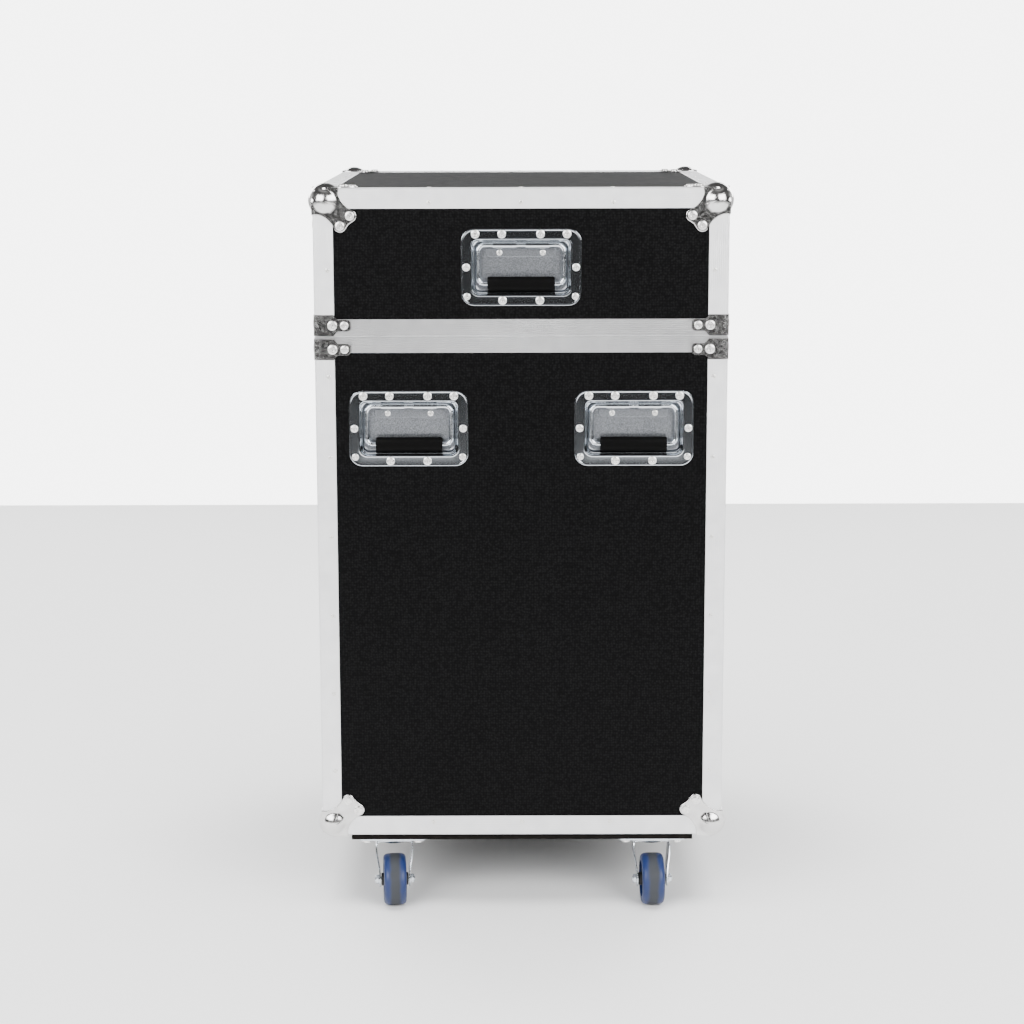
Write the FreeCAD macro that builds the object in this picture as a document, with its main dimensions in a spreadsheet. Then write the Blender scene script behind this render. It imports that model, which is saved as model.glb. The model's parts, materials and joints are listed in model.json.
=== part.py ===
import FreeCAD, Part
import math
import os
import Sketcher

from FreeCAD import Placement, Rotation, Vector

# A wheeled equipment rack case with a lift-off lid.  Millimetres, +Z up.  The origin is on the floor under
# the middle of the case; the handle faces look along -Y and +Y, the latch faces along -X and +X.

doc = FreeCAD.newDocument("RackCase")
sheet = doc.addObject("Spreadsheet::Sheet", "size")

DIMENSIONS = {
    # case body, outside faces of the aluminium edging
    "case_width": 620, "case_depth": 650, "base_height": 780, "lid_height": 220, "shut_gap": 0.4,
    "panel_thick": 9, "edge_leg": 30, "edge_thick": 1.5,
    # mitred rims that meet where the case opens
    "rim_height": 25, "rim_wall": 1.5, "rim_web": 7, "lid_rim_web": 5,
    "groove_width": 4, "groove_depth": 5, "tongue_width": 3, "tongue_depth": 4.4,
    # ball corners: a ball in three plates, each with a two-lobed ear
    "ball_radius": 25.5, "ball_inset": 18, "ball_plate": 39, "ball_shoulder": 8, "plate_thick": 1.5,
    "ear_far": 55.5, "ear_near": 40.5, "ear_lobe": 9.5, "corner_nip": 8,
    # angle brackets at the rims
    "bracket_leg": 29, "bracket_reach": 54, "bracket_tall": 32, "tongue_tall": 18,
    "bracket_drop": 3.8,
    # rivet heads
    "edge_rivet": 3.5, "ear_rivet": 7, "bracket_rivet": 7.4, "dish_rivet": 6.5, "edge_rivet_inset": 21,
    "edge_rivet_pitch": 137, "depth_rivet_pitch": 112, "post_rivet_pitch": 123, "post_rivet_first": 164,
    # recessed spring handles
    "dish_width": 180, "dish_height": 115, "dish_round": 20, "dish_border": 16, "mouth_height": 83,
    "mouth_chamfer": 9, "dish_depth": 20, "dish_wall": 1.5, "mouth_taper": 5, "window_play": 0.5,
    "handle_spread": 170,
    "handle_height": 760, "lid_handle_height": 1003, "bail_side_play": 9.5, "bail_radius": 4, "bail_bend": 10,
    "bail_inset": 12, "hinge_drop": 9, "grip_rise": 15.5, "grip_side_play": 14, "grip_height": 22.5,
    "grip_depth": 14, "pin_clearance": 0.06, "knuckle_set_in": 11, "knuckle_radius": 6,
    "leaf_side_play": 21, "leaf_height": 14, "leaf_drop": 14, "leaf_thick": 1.5, "leaf_rivet_inset": 20.5,
    # recessed turn latches
    "latch_spread": 180, "latch_width": 110, "latch_base": 60, "latch_lid": 44,
    "latch_depth": 18, "latch_border": 10, "claw_width": 30, "claw_thick": 3, "claw_inset": 7,
    "claw_hinge": 44, "claw_reach": 23.5, "hook_depth": 7, "hook_thick": 3, "keeper_height": 17,
    "keeper_radius": 2.5, "keeper_length": 44, "claw_pin": 2, "claw_eye_wall": 1.6, "release_angle": 8,
    "wing_drop": 16, "wing_span": 40, "wing_thick": 2.5, "wing_boss": 9,
    # rack rails for top-loaded equipment
    "rail_drop": 75, "rail_hole_spacing": 465.1, "rail_inner": 450, "rail_thick": 2, "rail_leg": 22,
    "rail_outer": 496, "rail_play": 3, "unit_height": 44.45, "rail_hole": 3.5, "unit_edge": 6.35,
    "unit_pitch": 15.875, "batten_tall": 50,
    # castors
    "board_thick": 12, "board_inset": 12, "notch_play": 5, "caster_height": 108,
    "caster_plate_x": 105, "caster_plate_y": 85,
    "caster_plate_thick": 3, "caster_inset_x": 107, "caster_inset_y": 55.5, "bolt_spacing_x": 80,
    "bolt_spacing_y": 60, "bolt_radius": 4, "bolt_clearance": 0.25, "bolt_head": 7.5, "bolt_head_tall": 5,
    "bearing_radius": 27, "bearing_tall": 6, "king_pin": 6, "fork_gap": 0.4, "crown_radius": 29,
    "fork_shoulder": 59, "fork_straight": 20,
    "fork_thick": 2.5, "fork_outside": 49, "fork_boss": 12, "caster_trail": 34, "wheel_diameter": 80,
    "wheel_width": 35, "tread_thick": 12, "tread_round": 5, "hub_width": 28, "axle_radius": 4,
    "hub_boss": 10, "wheel_clearance": 1, "axle_head": 7.5, "axle_head_tall": 7,
    "turn_front_left": 5, "turn_front_right": 2, "turn_rear_left": 185, "turn_rear_right": 178,
}

for row, (alias, value) in enumerate(DIMENSIONS.items(), start=1):
    sheet.set(f"A{row}", alias.replace("_", " "))
    sheet.set(f"B{row}", str(value))
    sheet.setAlias(f"B{row}", alias)

# Sizes that follow the piece they fit.  The rails hold as many whole rack units as the case is deep inside.
FITTED = {
    "mouth_width": "dish_width - 2 * dish_border",
    "bail_width": "dish_width - 2 * dish_border - 2 * bail_side_play",
    "grip_length": "dish_width - 2 * dish_border - 2 * bail_side_play - 2 * grip_side_play",
    "leaf_width": "dish_width - 2 * dish_border - 2 * leaf_side_play",
    "knuckle_length": "dish_width - 2 * dish_border - 2 * leaf_side_play - 2 * knuckle_set_in",
    "leaf_rivets": "dish_width - 2 * dish_border - 2 * leaf_side_play - 2 * leaf_rivet_inset",
    "latch_mouth": "latch_width - 2 * latch_border",
    "rack_units": "floor((case_depth - 2 * (edge_thick + panel_thick + rail_play)) / unit_height)",
}
for row, (alias, rule) in enumerate(FITTED.items(), start=len(DIMENSIONS) + 1):
    sheet.set(f"A{row}", alias.replace("_", " "))
    sheet.set(f"B{row}", "=" + rule)
    sheet.setAlias(f"B{row}", alias)
doc.recompute()


def cell(alias):
    return float(sheet.get(alias))


# Places worked out from the sheet, as expressions and as numbers of the same meaning.
HALF_X = "size.case_width / 2"
HALF_Y = "size.case_depth / 2"
SKIN_X = "(size.case_width / 2 - size.edge_thick)"
SKIN_Y = "(size.case_depth / 2 - size.edge_thick)"
ROOM_X = "(size.case_width / 2 - size.edge_thick - size.panel_thick)"
ROOM_Y = "(size.case_depth / 2 - size.edge_thick - size.panel_thick)"
BASE_Z = "(size.caster_height + size.board_thick)"
SPLIT_Z = "(size.caster_height + size.board_thick + size.base_height)"
LID_Z = f"({SPLIT_Z} + size.shut_gap)"
TOP_Z = f"({LID_Z} + size.lid_height)"

half_x = cell("case_width") / 2
half_y = cell("case_depth") / 2
base_z = cell("caster_height") + cell("board_thick")
split_z = base_z + cell("base_height")
lid_z = split_z + cell("shut_gap")
top_z = lid_z + cell("lid_height")
skin_y = half_y - cell("edge_thick")

SUB_PARTS = []


def keep(item, label):
    """Names a finished sub-part, which is written to its own file."""
    item.Label = label
    SUB_PARTS.append(item)
    return item


# ---------------------------------------------------------------- building blocks

def block(name, low, high):
    """A box between two corners given as expressions."""
    box = doc.addObject("Part::Box", name)
    for side, letter, start, end in zip(("Length", "Width", "Height"), "xyz", low, high):
        box.setExpression(side, f"({end}) - ({start})")
        box.setExpression(f"Placement.Base.{letter}", start)
    return box


TURNED = {"x": Rotation(Vector(0, 1, 0), 90), "y": Rotation(Vector(1, 0, 0), -90), "z": Rotation()}


def rod(name, along, start, radius, length):
    """A cylinder from a start point along +X, +Y or +Z."""
    pin = doc.addObject("Part::Cylinder", name)
    pin.Placement.Rotation = TURNED[along]
    pin.setExpression("Radius", radius)
    pin.setExpression("Height", length)
    for letter, value in zip("xyz", start):
        pin.setExpression(f"Placement.Base.{letter}", value)
    return pin


def fuse(name, items):
    joined = doc.addObject("Part::MultiFuse", name)
    joined.Shapes = items
    return joined


def cut(name, base, tools):
    result = doc.addObject("Part::Cut", name)
    result.Base = base
    result.Tool = tools[0] if len(tools) == 1 else fuse(name + "_tools", tools)
    return result


def group(name, items):
    """Several separate solids under one name."""
    result = doc.addObject("Part::Compound", name)
    result.Links = items
    return result


def mirrored(name, item, normal):
    copy = doc.addObject("Part::Mirroring", name)
    copy.Source = item
    copy.Normal = normal
    return copy


def both_sides(name, item, normal):
    return [item, mirrored(f"{name}_m", item, normal)]


def four_ways(name, item):
    """The item at +X +Y with its mirror images in the other three corners."""
    across = mirrored(f"{name}_x", item, Vector(1, 0, 0))
    along = mirrored(f"{name}_y", item, Vector(0, 1, 0))
    both = mirrored(f"{name}_xy", across, Vector(0, 1, 0))
    return [item, across, along, both]


def feature(name, shape):
    item = doc.addObject("Part::Feature", name)
    item.Shape = shape
    return item


def plane_of(body, role):
    return next(item for item in body.Origin.OriginFeatures if item.Role == role)


def sketch(body, name, role, points=(), circles=(), offset="0"):
    """A closed loop of straight lines and any circles; each point is tied to the sheet."""
    drawing = body.newObject("Sketcher::SketchObject", name)
    drawing.AttachmentSupport = (plane_of(body, role), [""])
    drawing.MapMode = "FlatFace"
    drawing.setExpression("AttachmentOffset.Base.z", offset)
    count = len(points)
    ring = [Vector(math.cos(math.tau * i / count), math.sin(math.tau * i / count), 0) for i in range(count)]
    for i in range(count):
        drawing.addGeometry(Part.LineSegment(ring[i], ring[(i + 1) % count]))
    for i in range(count):
        drawing.addConstraint(Sketcher.Constraint("Coincident", i, 2, (i + 1) % count, 1))
    for i, point in enumerate(points):
        tie(drawing, i, 1, point)
    for centre, radius in circles:
        index = drawing.addGeometry(Part.Circle(Vector(), Vector(0, 0, 1), 1))
        tie(drawing, index, 3, centre)
        rule = drawing.addConstraint(Sketcher.Constraint("Radius", index, 1))
        drawing.setExpression(f"Constraints[{rule}]", radius)
    return drawing


def tie(drawing, index, spot, point):
    for kind, value in zip(("DistanceX", "DistanceY"), point):
        rule = drawing.addConstraint(Sketcher.Constraint(kind, -1, 1, index, spot, 1.0))
        drawing.setExpression(f"Constraints[{rule}]", value)


def pad(body, drawing, length, symmetric=False):
    solid = body.newObject("PartDesign::Pad", drawing.Name + "_pad")
    solid.Profile = drawing
    solid.setExpression("Length", length)
    if symmetric:
        solid.SideType = "Symmetric"
    return solid


def pocket(body, drawing):
    hole = body.newObject("PartDesign::Pocket", drawing.Name + "_pocket")
    hole.Profile = drawing
    hole.Type = "ThroughAll"
    hole.SideType = "Symmetric"
    return hole


# ---------------------------------------------------------------- panels

def dish_window(name, x, z, side):
    """The hole in a panel that a handle dish drops into."""
    reach_x = "(size.mouth_width / 2 + size.dish_wall + size.window_play)"
    reach_z = "(size.mouth_height / 2 + size.dish_wall + size.window_play)"
    low, high = sorted((side * 1, side * 2))
    return block(name, (f"{x} - {reach_x}", f"{low} * {HALF_Y} / 1.2", f"{z} - {reach_z}"),
                 (f"{x} + {reach_x}", f"{high} * {HALF_Y} / 1.2", f"{z} + {reach_z}"))


TRAY_REACH = "(size.latch_mouth / 2 + size.dish_wall + size.window_play)"
FLANGE_REACH = "(size.latch_width / 2 + size.window_play)"


def latch_window(name, side, end, reach):
    """The hole through a rim or a panel for one latch, in the base and in the lid."""
    centre = f"({end} * size.latch_spread)"
    low, high = sorted((side * 1, side * 2))
    foot = f"{SPLIT_Z} - size.latch_base + size.latch_border - size.window_play - size.dish_wall"
    head = f"{LID_Z} + size.latch_lid - size.latch_border + size.window_play + size.dish_wall"
    return block(name, (f"{low} * {HALF_X} / 1.2", f"{centre} - {reach}", foot),
                 (f"{high} * {HALF_X} / 1.2", f"{centre} + {reach}", head))


SIDES = (("left", -1), ("right", 1))
ENDS = (("front", -1), ("back", 1))


def latch_windows(name, side, reach):
    return [latch_window(f"{name}_latch_{end_name}", side, end, reach) for end_name, end in ENDS]


def side_panel(name, side, low_z, high_z):
    """A left or right panel, over the whole depth inside the edging."""
    faces = sorted((f"{side} * {ROOM_X}", f"{side} * {SKIN_X}"), reverse=side < 0)
    sheet_of_wood = block(name + "_blank", (faces[0], f"-{SKIN_Y}", low_z), (faces[1], SKIN_Y, high_z))
    return cut(name, sheet_of_wood, latch_windows(name, side, TRAY_REACH))


def end_panel(name, side, low_z, high_z, windows):
    """A front or back panel, fitted between the side panels."""
    faces = sorted((f"{side} * {ROOM_Y}", f"{side} * {SKIN_Y}"), reverse=side < 0)
    sheet_of_wood = block(name + "_blank", (f"-{ROOM_X}", faces[0], low_z), (ROOM_X, faces[1], high_z))
    holes = [dish_window(f"{name}_window_{i}", x, z, side) for i, (x, z) in enumerate(windows)]
    return cut(name, sheet_of_wood, holes)


def flat_panel(name, low_z, high_z, nip_low, nip_high, more=()):
    """The floor or the top: full size, with its corners nipped off inside the ball corners."""
    sheet_of_wood = block(name + "_blank", (f"-{SKIN_X}", f"-{SKIN_Y}", low_z), (SKIN_X, SKIN_Y, high_z))
    nip = block(name + "_nip", (f"{SKIN_X} - size.corner_nip", f"{SKIN_Y} - size.corner_nip", nip_low),
                (f"{HALF_X} + 5", f"{HALF_Y} + 5", nip_high))
    return cut(name, sheet_of_wood, four_ways(name + "_nip", nip) + list(more))


CASTERS = [(f"{end}_{side}", (sx, sy), f"turn_{'rear' if end == 'back' else 'front'}_{side}")
           for end, sy in ENDS for side, sx in SIDES]


def bolt_spots():
    """The sixteen castor bolt places, as expressions."""
    for _, (sx, sy), _ in CASTERS:
        for ox in (-1, 1):
            for oy in (-1, 1):
                yield (f"{sx} * ({HALF_X} - size.caster_inset_x) + {ox} * size.bolt_spacing_x / 2",
                       f"{sy} * ({HALF_Y} - size.caster_inset_y) + {oy} * size.bolt_spacing_y / 2")


def bolt_holes(name):
    reach = "size.board_thick * 4"
    return [rod(f"{name}_bolt_{i}", "z", (x, y, "size.caster_height - size.board_thick"),
                "size.bolt_radius + size.bolt_clearance", reach) for i, (x, y) in enumerate(bolt_spots())]


FLOOR_TOP = f"({BASE_Z} + size.edge_thick + size.panel_thick)"
CEILING = f"({TOP_Z} - size.edge_thick - size.panel_thick)"
BASE_WALL_TOP = f"({SPLIT_Z} - size.rim_web)"
LID_WALL_FOOT = f"({LID_Z} + size.lid_rim_web)"

keep(flat_panel("floor_panel", f"{BASE_Z} + size.edge_thick", FLOOR_TOP, f"{BASE_Z} - 5",
                FLOOR_TOP + " + 5", bolt_holes("floor")), "base_floor_panel")
board = block("board_blank", (f"-({HALF_X} - size.board_inset)", f"-({HALF_Y} - size.board_inset)",
                              "size.caster_height"),
              (f"{HALF_X} - size.board_inset", f"{HALF_Y} - size.board_inset", BASE_Z))


def board_notch():
    """A notch in the board's corner that clears a ball corner's plate, ear and rivets."""
    body = doc.addObject("PartDesign::Body", "board_notch")
    square = "size.ball_plate + size.notch_play"
    hip = "size.ball_shoulder + size.notch_play"
    tip = "size.ear_far + size.ear_lobe + size.notch_play"
    low = "size.ear_near - size.ear_lobe"
    high = "size.ear_near + size.ear_lobe"
    half = [("-10", "-10"), (square, "-10"), (square, hip), (tip, low), (tip, high)]
    steps = half + [(v, u) for u, v in reversed(half[1:])]
    points = [(f"{HALF_X} - ({u})", f"{HALF_Y} - ({v})") for u, v in steps]
    pad(body, sketch(body, "board_notch_outline", "XY_Plane", points, offset="size.caster_height - 5"),
        "size.board_thick + 10")
    return body


board_tools = four_ways("board_notch", board_notch()) + bolt_holes("board")
keep(cut("castor_board_cut", board, board_tools), "castor_board")

BASE_WINDOWS = [("-size.handle_spread", "size.handle_height"), ("size.handle_spread", "size.handle_height")]
LID_WINDOWS = [("0", "size.lid_handle_height")]
for side_name, side in SIDES:
    keep(side_panel(f"base_{side_name}_wall", side, FLOOR_TOP, BASE_WALL_TOP), f"base_{side_name}_panel")
for end_name, end in ENDS:
    keep(end_panel(f"base_{end_name}_wall", end, FLOOR_TOP, BASE_WALL_TOP, BASE_WINDOWS),
         f"base_{end_name}_panel")
lid_walls = [side_panel(f"lid_{side_name}_wall", side, LID_WALL_FOOT, CEILING) for side_name, side in SIDES]
lid_walls += [end_panel(f"lid_{end_name}_wall", end, LID_WALL_FOOT, CEILING, LID_WINDOWS)
              for end_name, end in ENDS]
keep(group("lid_walls", lid_walls), "lid_side_panels")
keep(flat_panel("top_panel", CEILING, f"{TOP_Z} - size.edge_thick", CEILING + " - 5", TOP_Z + " + 5"),
     "lid_top_panel")


# ---------------------------------------------------------------- aluminium edging

def angle_points(corner_u, corner_v, way_u, way_v):
    """The L section of an edging, from its outer corner along two legs."""
    leg = "size.edge_leg"
    wall = "size.edge_thick"
    steps = (("0", "0"), (leg, "0"), (leg, wall), (wall, wall), (wall, leg), ("0", leg))
    return [(f"{corner_u} + {way_u} * {u}", f"{corner_v} + {way_v} * {v}") for u, v in steps]


def corner_edges(name, low_z, high_z):
    body = doc.addObject("PartDesign::Body", name)
    section = sketch(body, name + "_section", "XY_Plane", angle_points(HALF_X, HALF_Y, -1, -1), offset=low_z)
    pad(body, section, f"({high_z}) - ({low_z})")
    return group(name + "_four", four_ways(name, body))


def flat_edges(name, level, way):
    """Two lengths along X and two along Y, each stopping where the ball corners take over."""
    wide = doc.addObject("PartDesign::Body", name + "_wide")
    section = sketch(wide, name + "_wide_section", "YZ_Plane", angle_points(HALF_Y, level, -1, way))
    pad(wide, section, "size.case_width - 2 * size.edge_leg", symmetric=True)
    deep = doc.addObject("PartDesign::Body", name + "_deep")
    section = sketch(deep, name + "_deep_section", "XZ_Plane", angle_points(HALF_X, level, -1, way))
    pad(deep, section, "size.case_depth - 2 * size.edge_leg", symmetric=True)
    return group(name + "_four", both_sides(name + "_w", wide, Vector(0, 1, 0))
                 + both_sides(name + "_d", deep, Vector(1, 0, 0)))


keep(corner_edges("base_posts", f"{BASE_Z} + size.edge_leg", f"{SPLIT_Z} - size.rim_height"),
     "base_corner_edges")
keep(corner_edges("lid_posts", f"{LID_Z} + size.rim_height", f"{TOP_Z} - size.edge_leg"), "lid_corner_edges")
keep(cut("foot_edges_drilled", flat_edges("foot_edges", BASE_Z, 1), bolt_holes("foot")), "base_bottom_edges")
keep(flat_edges("top_edges", TOP_Z, -1), "lid_top_edges")

RIM_WIDE = "(size.panel_thick + 2 * size.rim_wall)"
GROOVE_IN = f"({RIM_WIDE} - size.groove_width) / 2"
TONGUE_IN = f"({RIM_WIDE} - size.tongue_width) / 2"


def base_rim_section(face):
    """A channel over the panel's edge with a groove in its top; face is the outer face."""
    legs = "size.rim_height"
    web = "size.rim_web"
    wall = "size.rim_wall"
    steps = (("0", f"-{legs}"), ("0", "0"), (GROOVE_IN, "0"), (GROOVE_IN, "-size.groove_depth"),
             (f"{RIM_WIDE} - {GROOVE_IN}", "-size.groove_depth"), (f"{RIM_WIDE} - {GROOVE_IN}", "0"),
             (RIM_WIDE, "0"), (RIM_WIDE, f"-{legs}"), (f"{RIM_WIDE} - {wall}", f"-{legs}"),
             (f"{RIM_WIDE} - {wall}", f"-{web}"), (wall, f"-{web}"), (wall, f"-{legs}"))
    return [(f"{face} - ({u})", f"{SPLIT_Z} + ({v})") for u, v in steps]


def lid_rim_section(face):
    """The matching channel, with a tongue that hangs into the groove."""
    legs = "size.rim_height"
    web = "size.lid_rim_web"
    wall = "size.rim_wall"
    steps = (("0", legs), ("0", "0"), (TONGUE_IN, "0"), (TONGUE_IN, "-size.tongue_depth"),
             (f"{RIM_WIDE} - {TONGUE_IN}", "-size.tongue_depth"), (f"{RIM_WIDE} - {TONGUE_IN}", "0"),
             (RIM_WIDE, "0"), (RIM_WIDE, legs), (f"{RIM_WIDE} - {wall}", legs),
             (f"{RIM_WIDE} - {wall}", web), (wall, web), (wall, legs))
    return [(f"{face} - ({u})", f"{LID_Z} + ({v})") for u, v in steps]


def mitre(body, name, along, across, sign, turned):
    """Cuts one end of a rim at 45 degrees, to meet its neighbour."""
    over = "60"
    corner = (f"{sign} * {along}", across)
    inner = (f"{sign} * ({along} - {over})", f"{across} - {over}")
    outer = (f"{sign} * ({along} + {over})", f"{across} - {over}")
    beyond = (f"{sign} * ({along} + {over})", f"{across} + {over}")
    points = [corner, inner, outer, beyond]
    if turned:
        points = [(v, u) for u, v in points]
    pocket(body, sketch(body, name, "XY_Plane", points, offset=SPLIT_Z))


def rim(name, section):
    wide = doc.addObject("PartDesign::Body", name + "_wide")
    pad(wide, sketch(wide, name + "_wide_section", "YZ_Plane", section(HALF_Y)), "size.case_width", True)
    deep = doc.addObject("PartDesign::Body", name + "_deep")
    pad(deep, sketch(deep, name + "_deep_section", "XZ_Plane", section(HALF_X)), "size.case_depth", True)
    for sign in (-1, 1):
        mitre(wide, f"{name}_wide_mitre_{sign + 1}", HALF_X, HALF_Y, sign, False)
        mitre(deep, f"{name}_deep_mitre_{sign + 1}", HALF_Y, HALF_X, sign, True)
    notched = cut(name + "_notched", deep, latch_windows(name, 1, FLANGE_REACH))
    return group(name + "_four", both_sides(name + "_w", wide, Vector(0, 1, 0))
                 + both_sides(name + "_d", notched, Vector(1, 0, 0)))


keep(rim("base_rim", base_rim_section), "base_rim_edges")
keep(rim("lid_rim", lid_rim_section), "lid_rim_edges")


# ---------------------------------------------------------------- ball corners and brackets

def ball_plate_face():
    """A ball corner's plate, drawn from the case corner at (0, 0) in X and Y: it wraps the
    case's edges, leaves the corner itself to the ball, and has a concave flare on each side
    and a lobe round each rivet."""
    wrap = -cell("plate_thick")
    ball = cell("ball_inset")
    plate = cell("ball_plate")
    shoulder = cell("ball_shoulder")
    far = cell("ear_far")
    near = cell("ear_near")
    lobe = cell("ear_lobe")
    slant = lobe * math.sqrt(0.5)
    hip = Vector(far + slant, near - slant, 0)
    bend = Vector(plate + 0.30 * (hip.x - plate), shoulder + 0.62 * (hip.y - shoulder), 0)
    tip = Vector(far + slant, near + slant, 0)
    middle = Vector((far + near) / 2, (far + near) / 2, 0)
    valley = middle + Vector(slant, slant, 0) * 0.85

    def swap(point):
        return Vector(point.y, point.x, 0)

    start = Vector(plate, shoulder, 0)
    edges = [Part.makeLine(Vector(ball, ball, 0), Vector(ball, wrap, 0)),
             Part.makeLine(Vector(ball, wrap, 0), Vector(plate, wrap, 0)),
             Part.makeLine(Vector(plate, wrap, 0), start),
             Part.Arc(start, bend, hip).toShape(),
             Part.Arc(hip, Vector(far + lobe, near, 0), tip).toShape(),
             Part.makeLine(tip, valley),
             Part.makeLine(valley, swap(tip)),
             Part.Arc(swap(tip), Vector(near, far + lobe, 0), swap(hip)).toShape(),
             Part.Arc(swap(hip), swap(bend), swap(start)).toShape(),
             Part.makeLine(swap(start), Vector(wrap, plate, 0)),
             Part.makeLine(Vector(wrap, plate, 0), Vector(wrap, ball, 0)),
             Part.makeLine(Vector(wrap, ball, 0), Vector(ball, ball, 0))]
    return Part.Face(Part.Wire(edges))


def ball_corner(name, level, way):
    """The ball corner at +X +Y; way is +1 at the foot of the case and -1 at its top."""
    thick = cell("plate_thick")
    inset = cell("ball_inset")
    corner = Vector(half_x, half_y, level)
    flat = ball_plate_face().extrude(Vector(0, 0, thick))
    to_corner = {  # plate's own x, y and outward z, as directions in the case
        "front": (Vector(-1, 0, 0), Vector(0, 0, way), Vector(0, 1, 0)),
        "side": (Vector(0, -1, 0), Vector(0, 0, way), Vector(1, 0, 0)),
        "flat": (Vector(-1, 0, 0), Vector(0, -1, 0), Vector(0, 0, -way)),
    }
    solid = Part.makeSphere(cell("ball_radius"), corner + Vector(-inset, -inset, way * inset))
    for across, up, out in to_corner.values():
        matrix = FreeCAD.Matrix(across.x, up.x, out.x, corner.x, across.y, up.y, out.y, corner.y,
                                across.z, up.z, out.z, corner.z)
        solid = solid.fuse(flat.transformGeometry(matrix))
    leg = cell("edge_leg")
    wall = cell("edge_thick")
    nip = cell("corner_nip")
    reach = 100
    low = base_z if way > 0 else level - reach
    outer = Part.makeBox(reach, reach, reach, Vector(half_x - reach, half_y - reach, low))
    cube_low = level if way > 0 else level - leg
    outer = outer.cut(Part.makeBox(leg, leg, leg, Vector(half_x - leg, half_y - leg, cube_low)))
    skin = level + way * wall
    low = skin if way > 0 else skin - reach
    wood = Part.makeBox(reach, reach, reach, Vector(half_x - wall - reach, skin_y - reach, low))
    low = skin if way > 0 else skin - nip
    wood = wood.cut(Part.makeBox(nip, nip, nip, Vector(half_x - wall - nip, skin_y - nip, low)))
    return feature(name, solid.cut(outer).cut(wood).removeSplitter())


keep(group("foot_balls", four_ways("foot_ball", ball_corner("foot_ball", base_z, 1))), "base_ball_corners")
keep(group("top_balls", four_ways("top_ball", ball_corner("top_ball", top_z, -1))), "lid_ball_corners")


def rim_bracket(name, low_z):
    """An angle round a post, with a tongue along each rim."""
    tongue = f"(({low_z}) + (size.bracket_tall - size.tongue_tall) / 2)"
    thick = "size.plate_thick"
    wrap = block(name + "_wrap", (f"{HALF_X} - size.bracket_leg", f"{HALF_Y} - size.bracket_leg", low_z),
                 (f"{HALF_X} + {thick}", f"{HALF_Y} + {thick}", f"{low_z} + size.bracket_tall"))
    wide = block(name + "_wide", (f"{HALF_X} - size.bracket_reach", f"{HALF_Y} - size.bracket_leg", tongue),
                 (HALF_X, f"{HALF_Y} + {thick}", f"{tongue} + size.tongue_tall"))
    deep = block(name + "_deep", (f"{HALF_X} - size.bracket_leg", f"{HALF_Y} - size.bracket_reach", tongue),
                 (f"{HALF_X} + {thick}", HALF_Y, f"{tongue} + size.tongue_tall"))
    case = block(name + "_case", ("0", "0", f"{low_z} - 5"),
                 (HALF_X, HALF_Y, f"{low_z} + size.bracket_tall + 5"))
    return cut(name, fuse(name + "_blank", [wrap, wide, deep]), [case])


BASE_BRACKET_Z = f"{SPLIT_Z} - size.bracket_drop - size.bracket_tall"
keep(group("base_brackets", four_ways("base_bracket", rim_bracket("base_bracket", BASE_BRACKET_Z))),
     "base_rim_brackets")
keep(group("lid_brackets", four_ways("lid_bracket", rim_bracket("lid_bracket", LID_Z))), "lid_rim_brackets")


# ---------------------------------------------------------------- rivet heads

def dome(point, out, radius):
    """A rivet's domed head, a third as tall as it is wide, standing on a face."""
    tall = radius / 3
    ball = (radius * radius + tall * tall) / (2 * tall)
    latitude = math.degrees(math.asin((ball - tall) / ball))
    return Part.makeSphere(ball, point - out * (ball - tall), out, latitude, 90, 360)


def corner_rivets(level, way):
    """Two rivets in each plate of the ball corner at +X +Y."""
    thick = cell("plate_thick")
    radius = cell("ear_rivet")
    for first, second in ((cell("ear_far"), cell("ear_near")), (cell("ear_near"), cell("ear_far"))):
        yield dome(Vector(half_x - first, half_y + thick, level + way * second), Vector(0, 1, 0), radius)
        yield dome(Vector(half_x + thick, half_y - first, level + way * second), Vector(1, 0, 0), radius)
        yield dome(Vector(half_x - first, half_y - second, level - way * thick), Vector(0, 0, -way), radius)


def bracket_rivets(low_z):
    level = low_z + cell("bracket_tall") / 2
    thick = cell("plate_thick")
    reach = cell("bracket_reach")
    for inset, share in ((reach / 2, 1), (reach * 5 / 6, 0.86)):
        radius = cell("bracket_rivet") * share
        yield dome(Vector(half_x - inset, half_y + thick, level), Vector(0, 1, 0), radius)
        yield dome(Vector(half_x + thick, half_y - inset, level), Vector(1, 0, 0), radius)


def edge_rivets(level, way, bottom):
    """Rivets along the edging at a flat face, on the wall face and on the flat face."""
    inset = cell("edge_rivet_inset")
    radius = cell("edge_rivet")
    pitch = cell("edge_rivet_pitch")
    for x in (0, pitch):
        yield dome(Vector(x, half_y, level + way * inset), Vector(0, 1, 0), radius)
        if not bottom:
            yield dome(Vector(x, half_y - inset, level), Vector(0, 0, 1), radius)
    pitch = cell("depth_rivet_pitch")
    for y in (pitch / 2, pitch * 3 / 2):
        yield dome(Vector(half_x, y, level + way * inset), Vector(1, 0, 0), radius)
        if not bottom:
            yield dome(Vector(half_x - inset, y, level), Vector(0, 0, 1), radius)


def post_rivets(levels):
    """Rivets up a corner post, on both of its faces."""
    inset = cell("edge_rivet_inset")
    radius = cell("edge_rivet")
    for level in levels:
        yield dome(Vector(half_x - inset, half_y, level), Vector(0, 1, 0), radius)
        yield dome(Vector(half_x, half_y - inset, level), Vector(1, 0, 0), radius)


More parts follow.
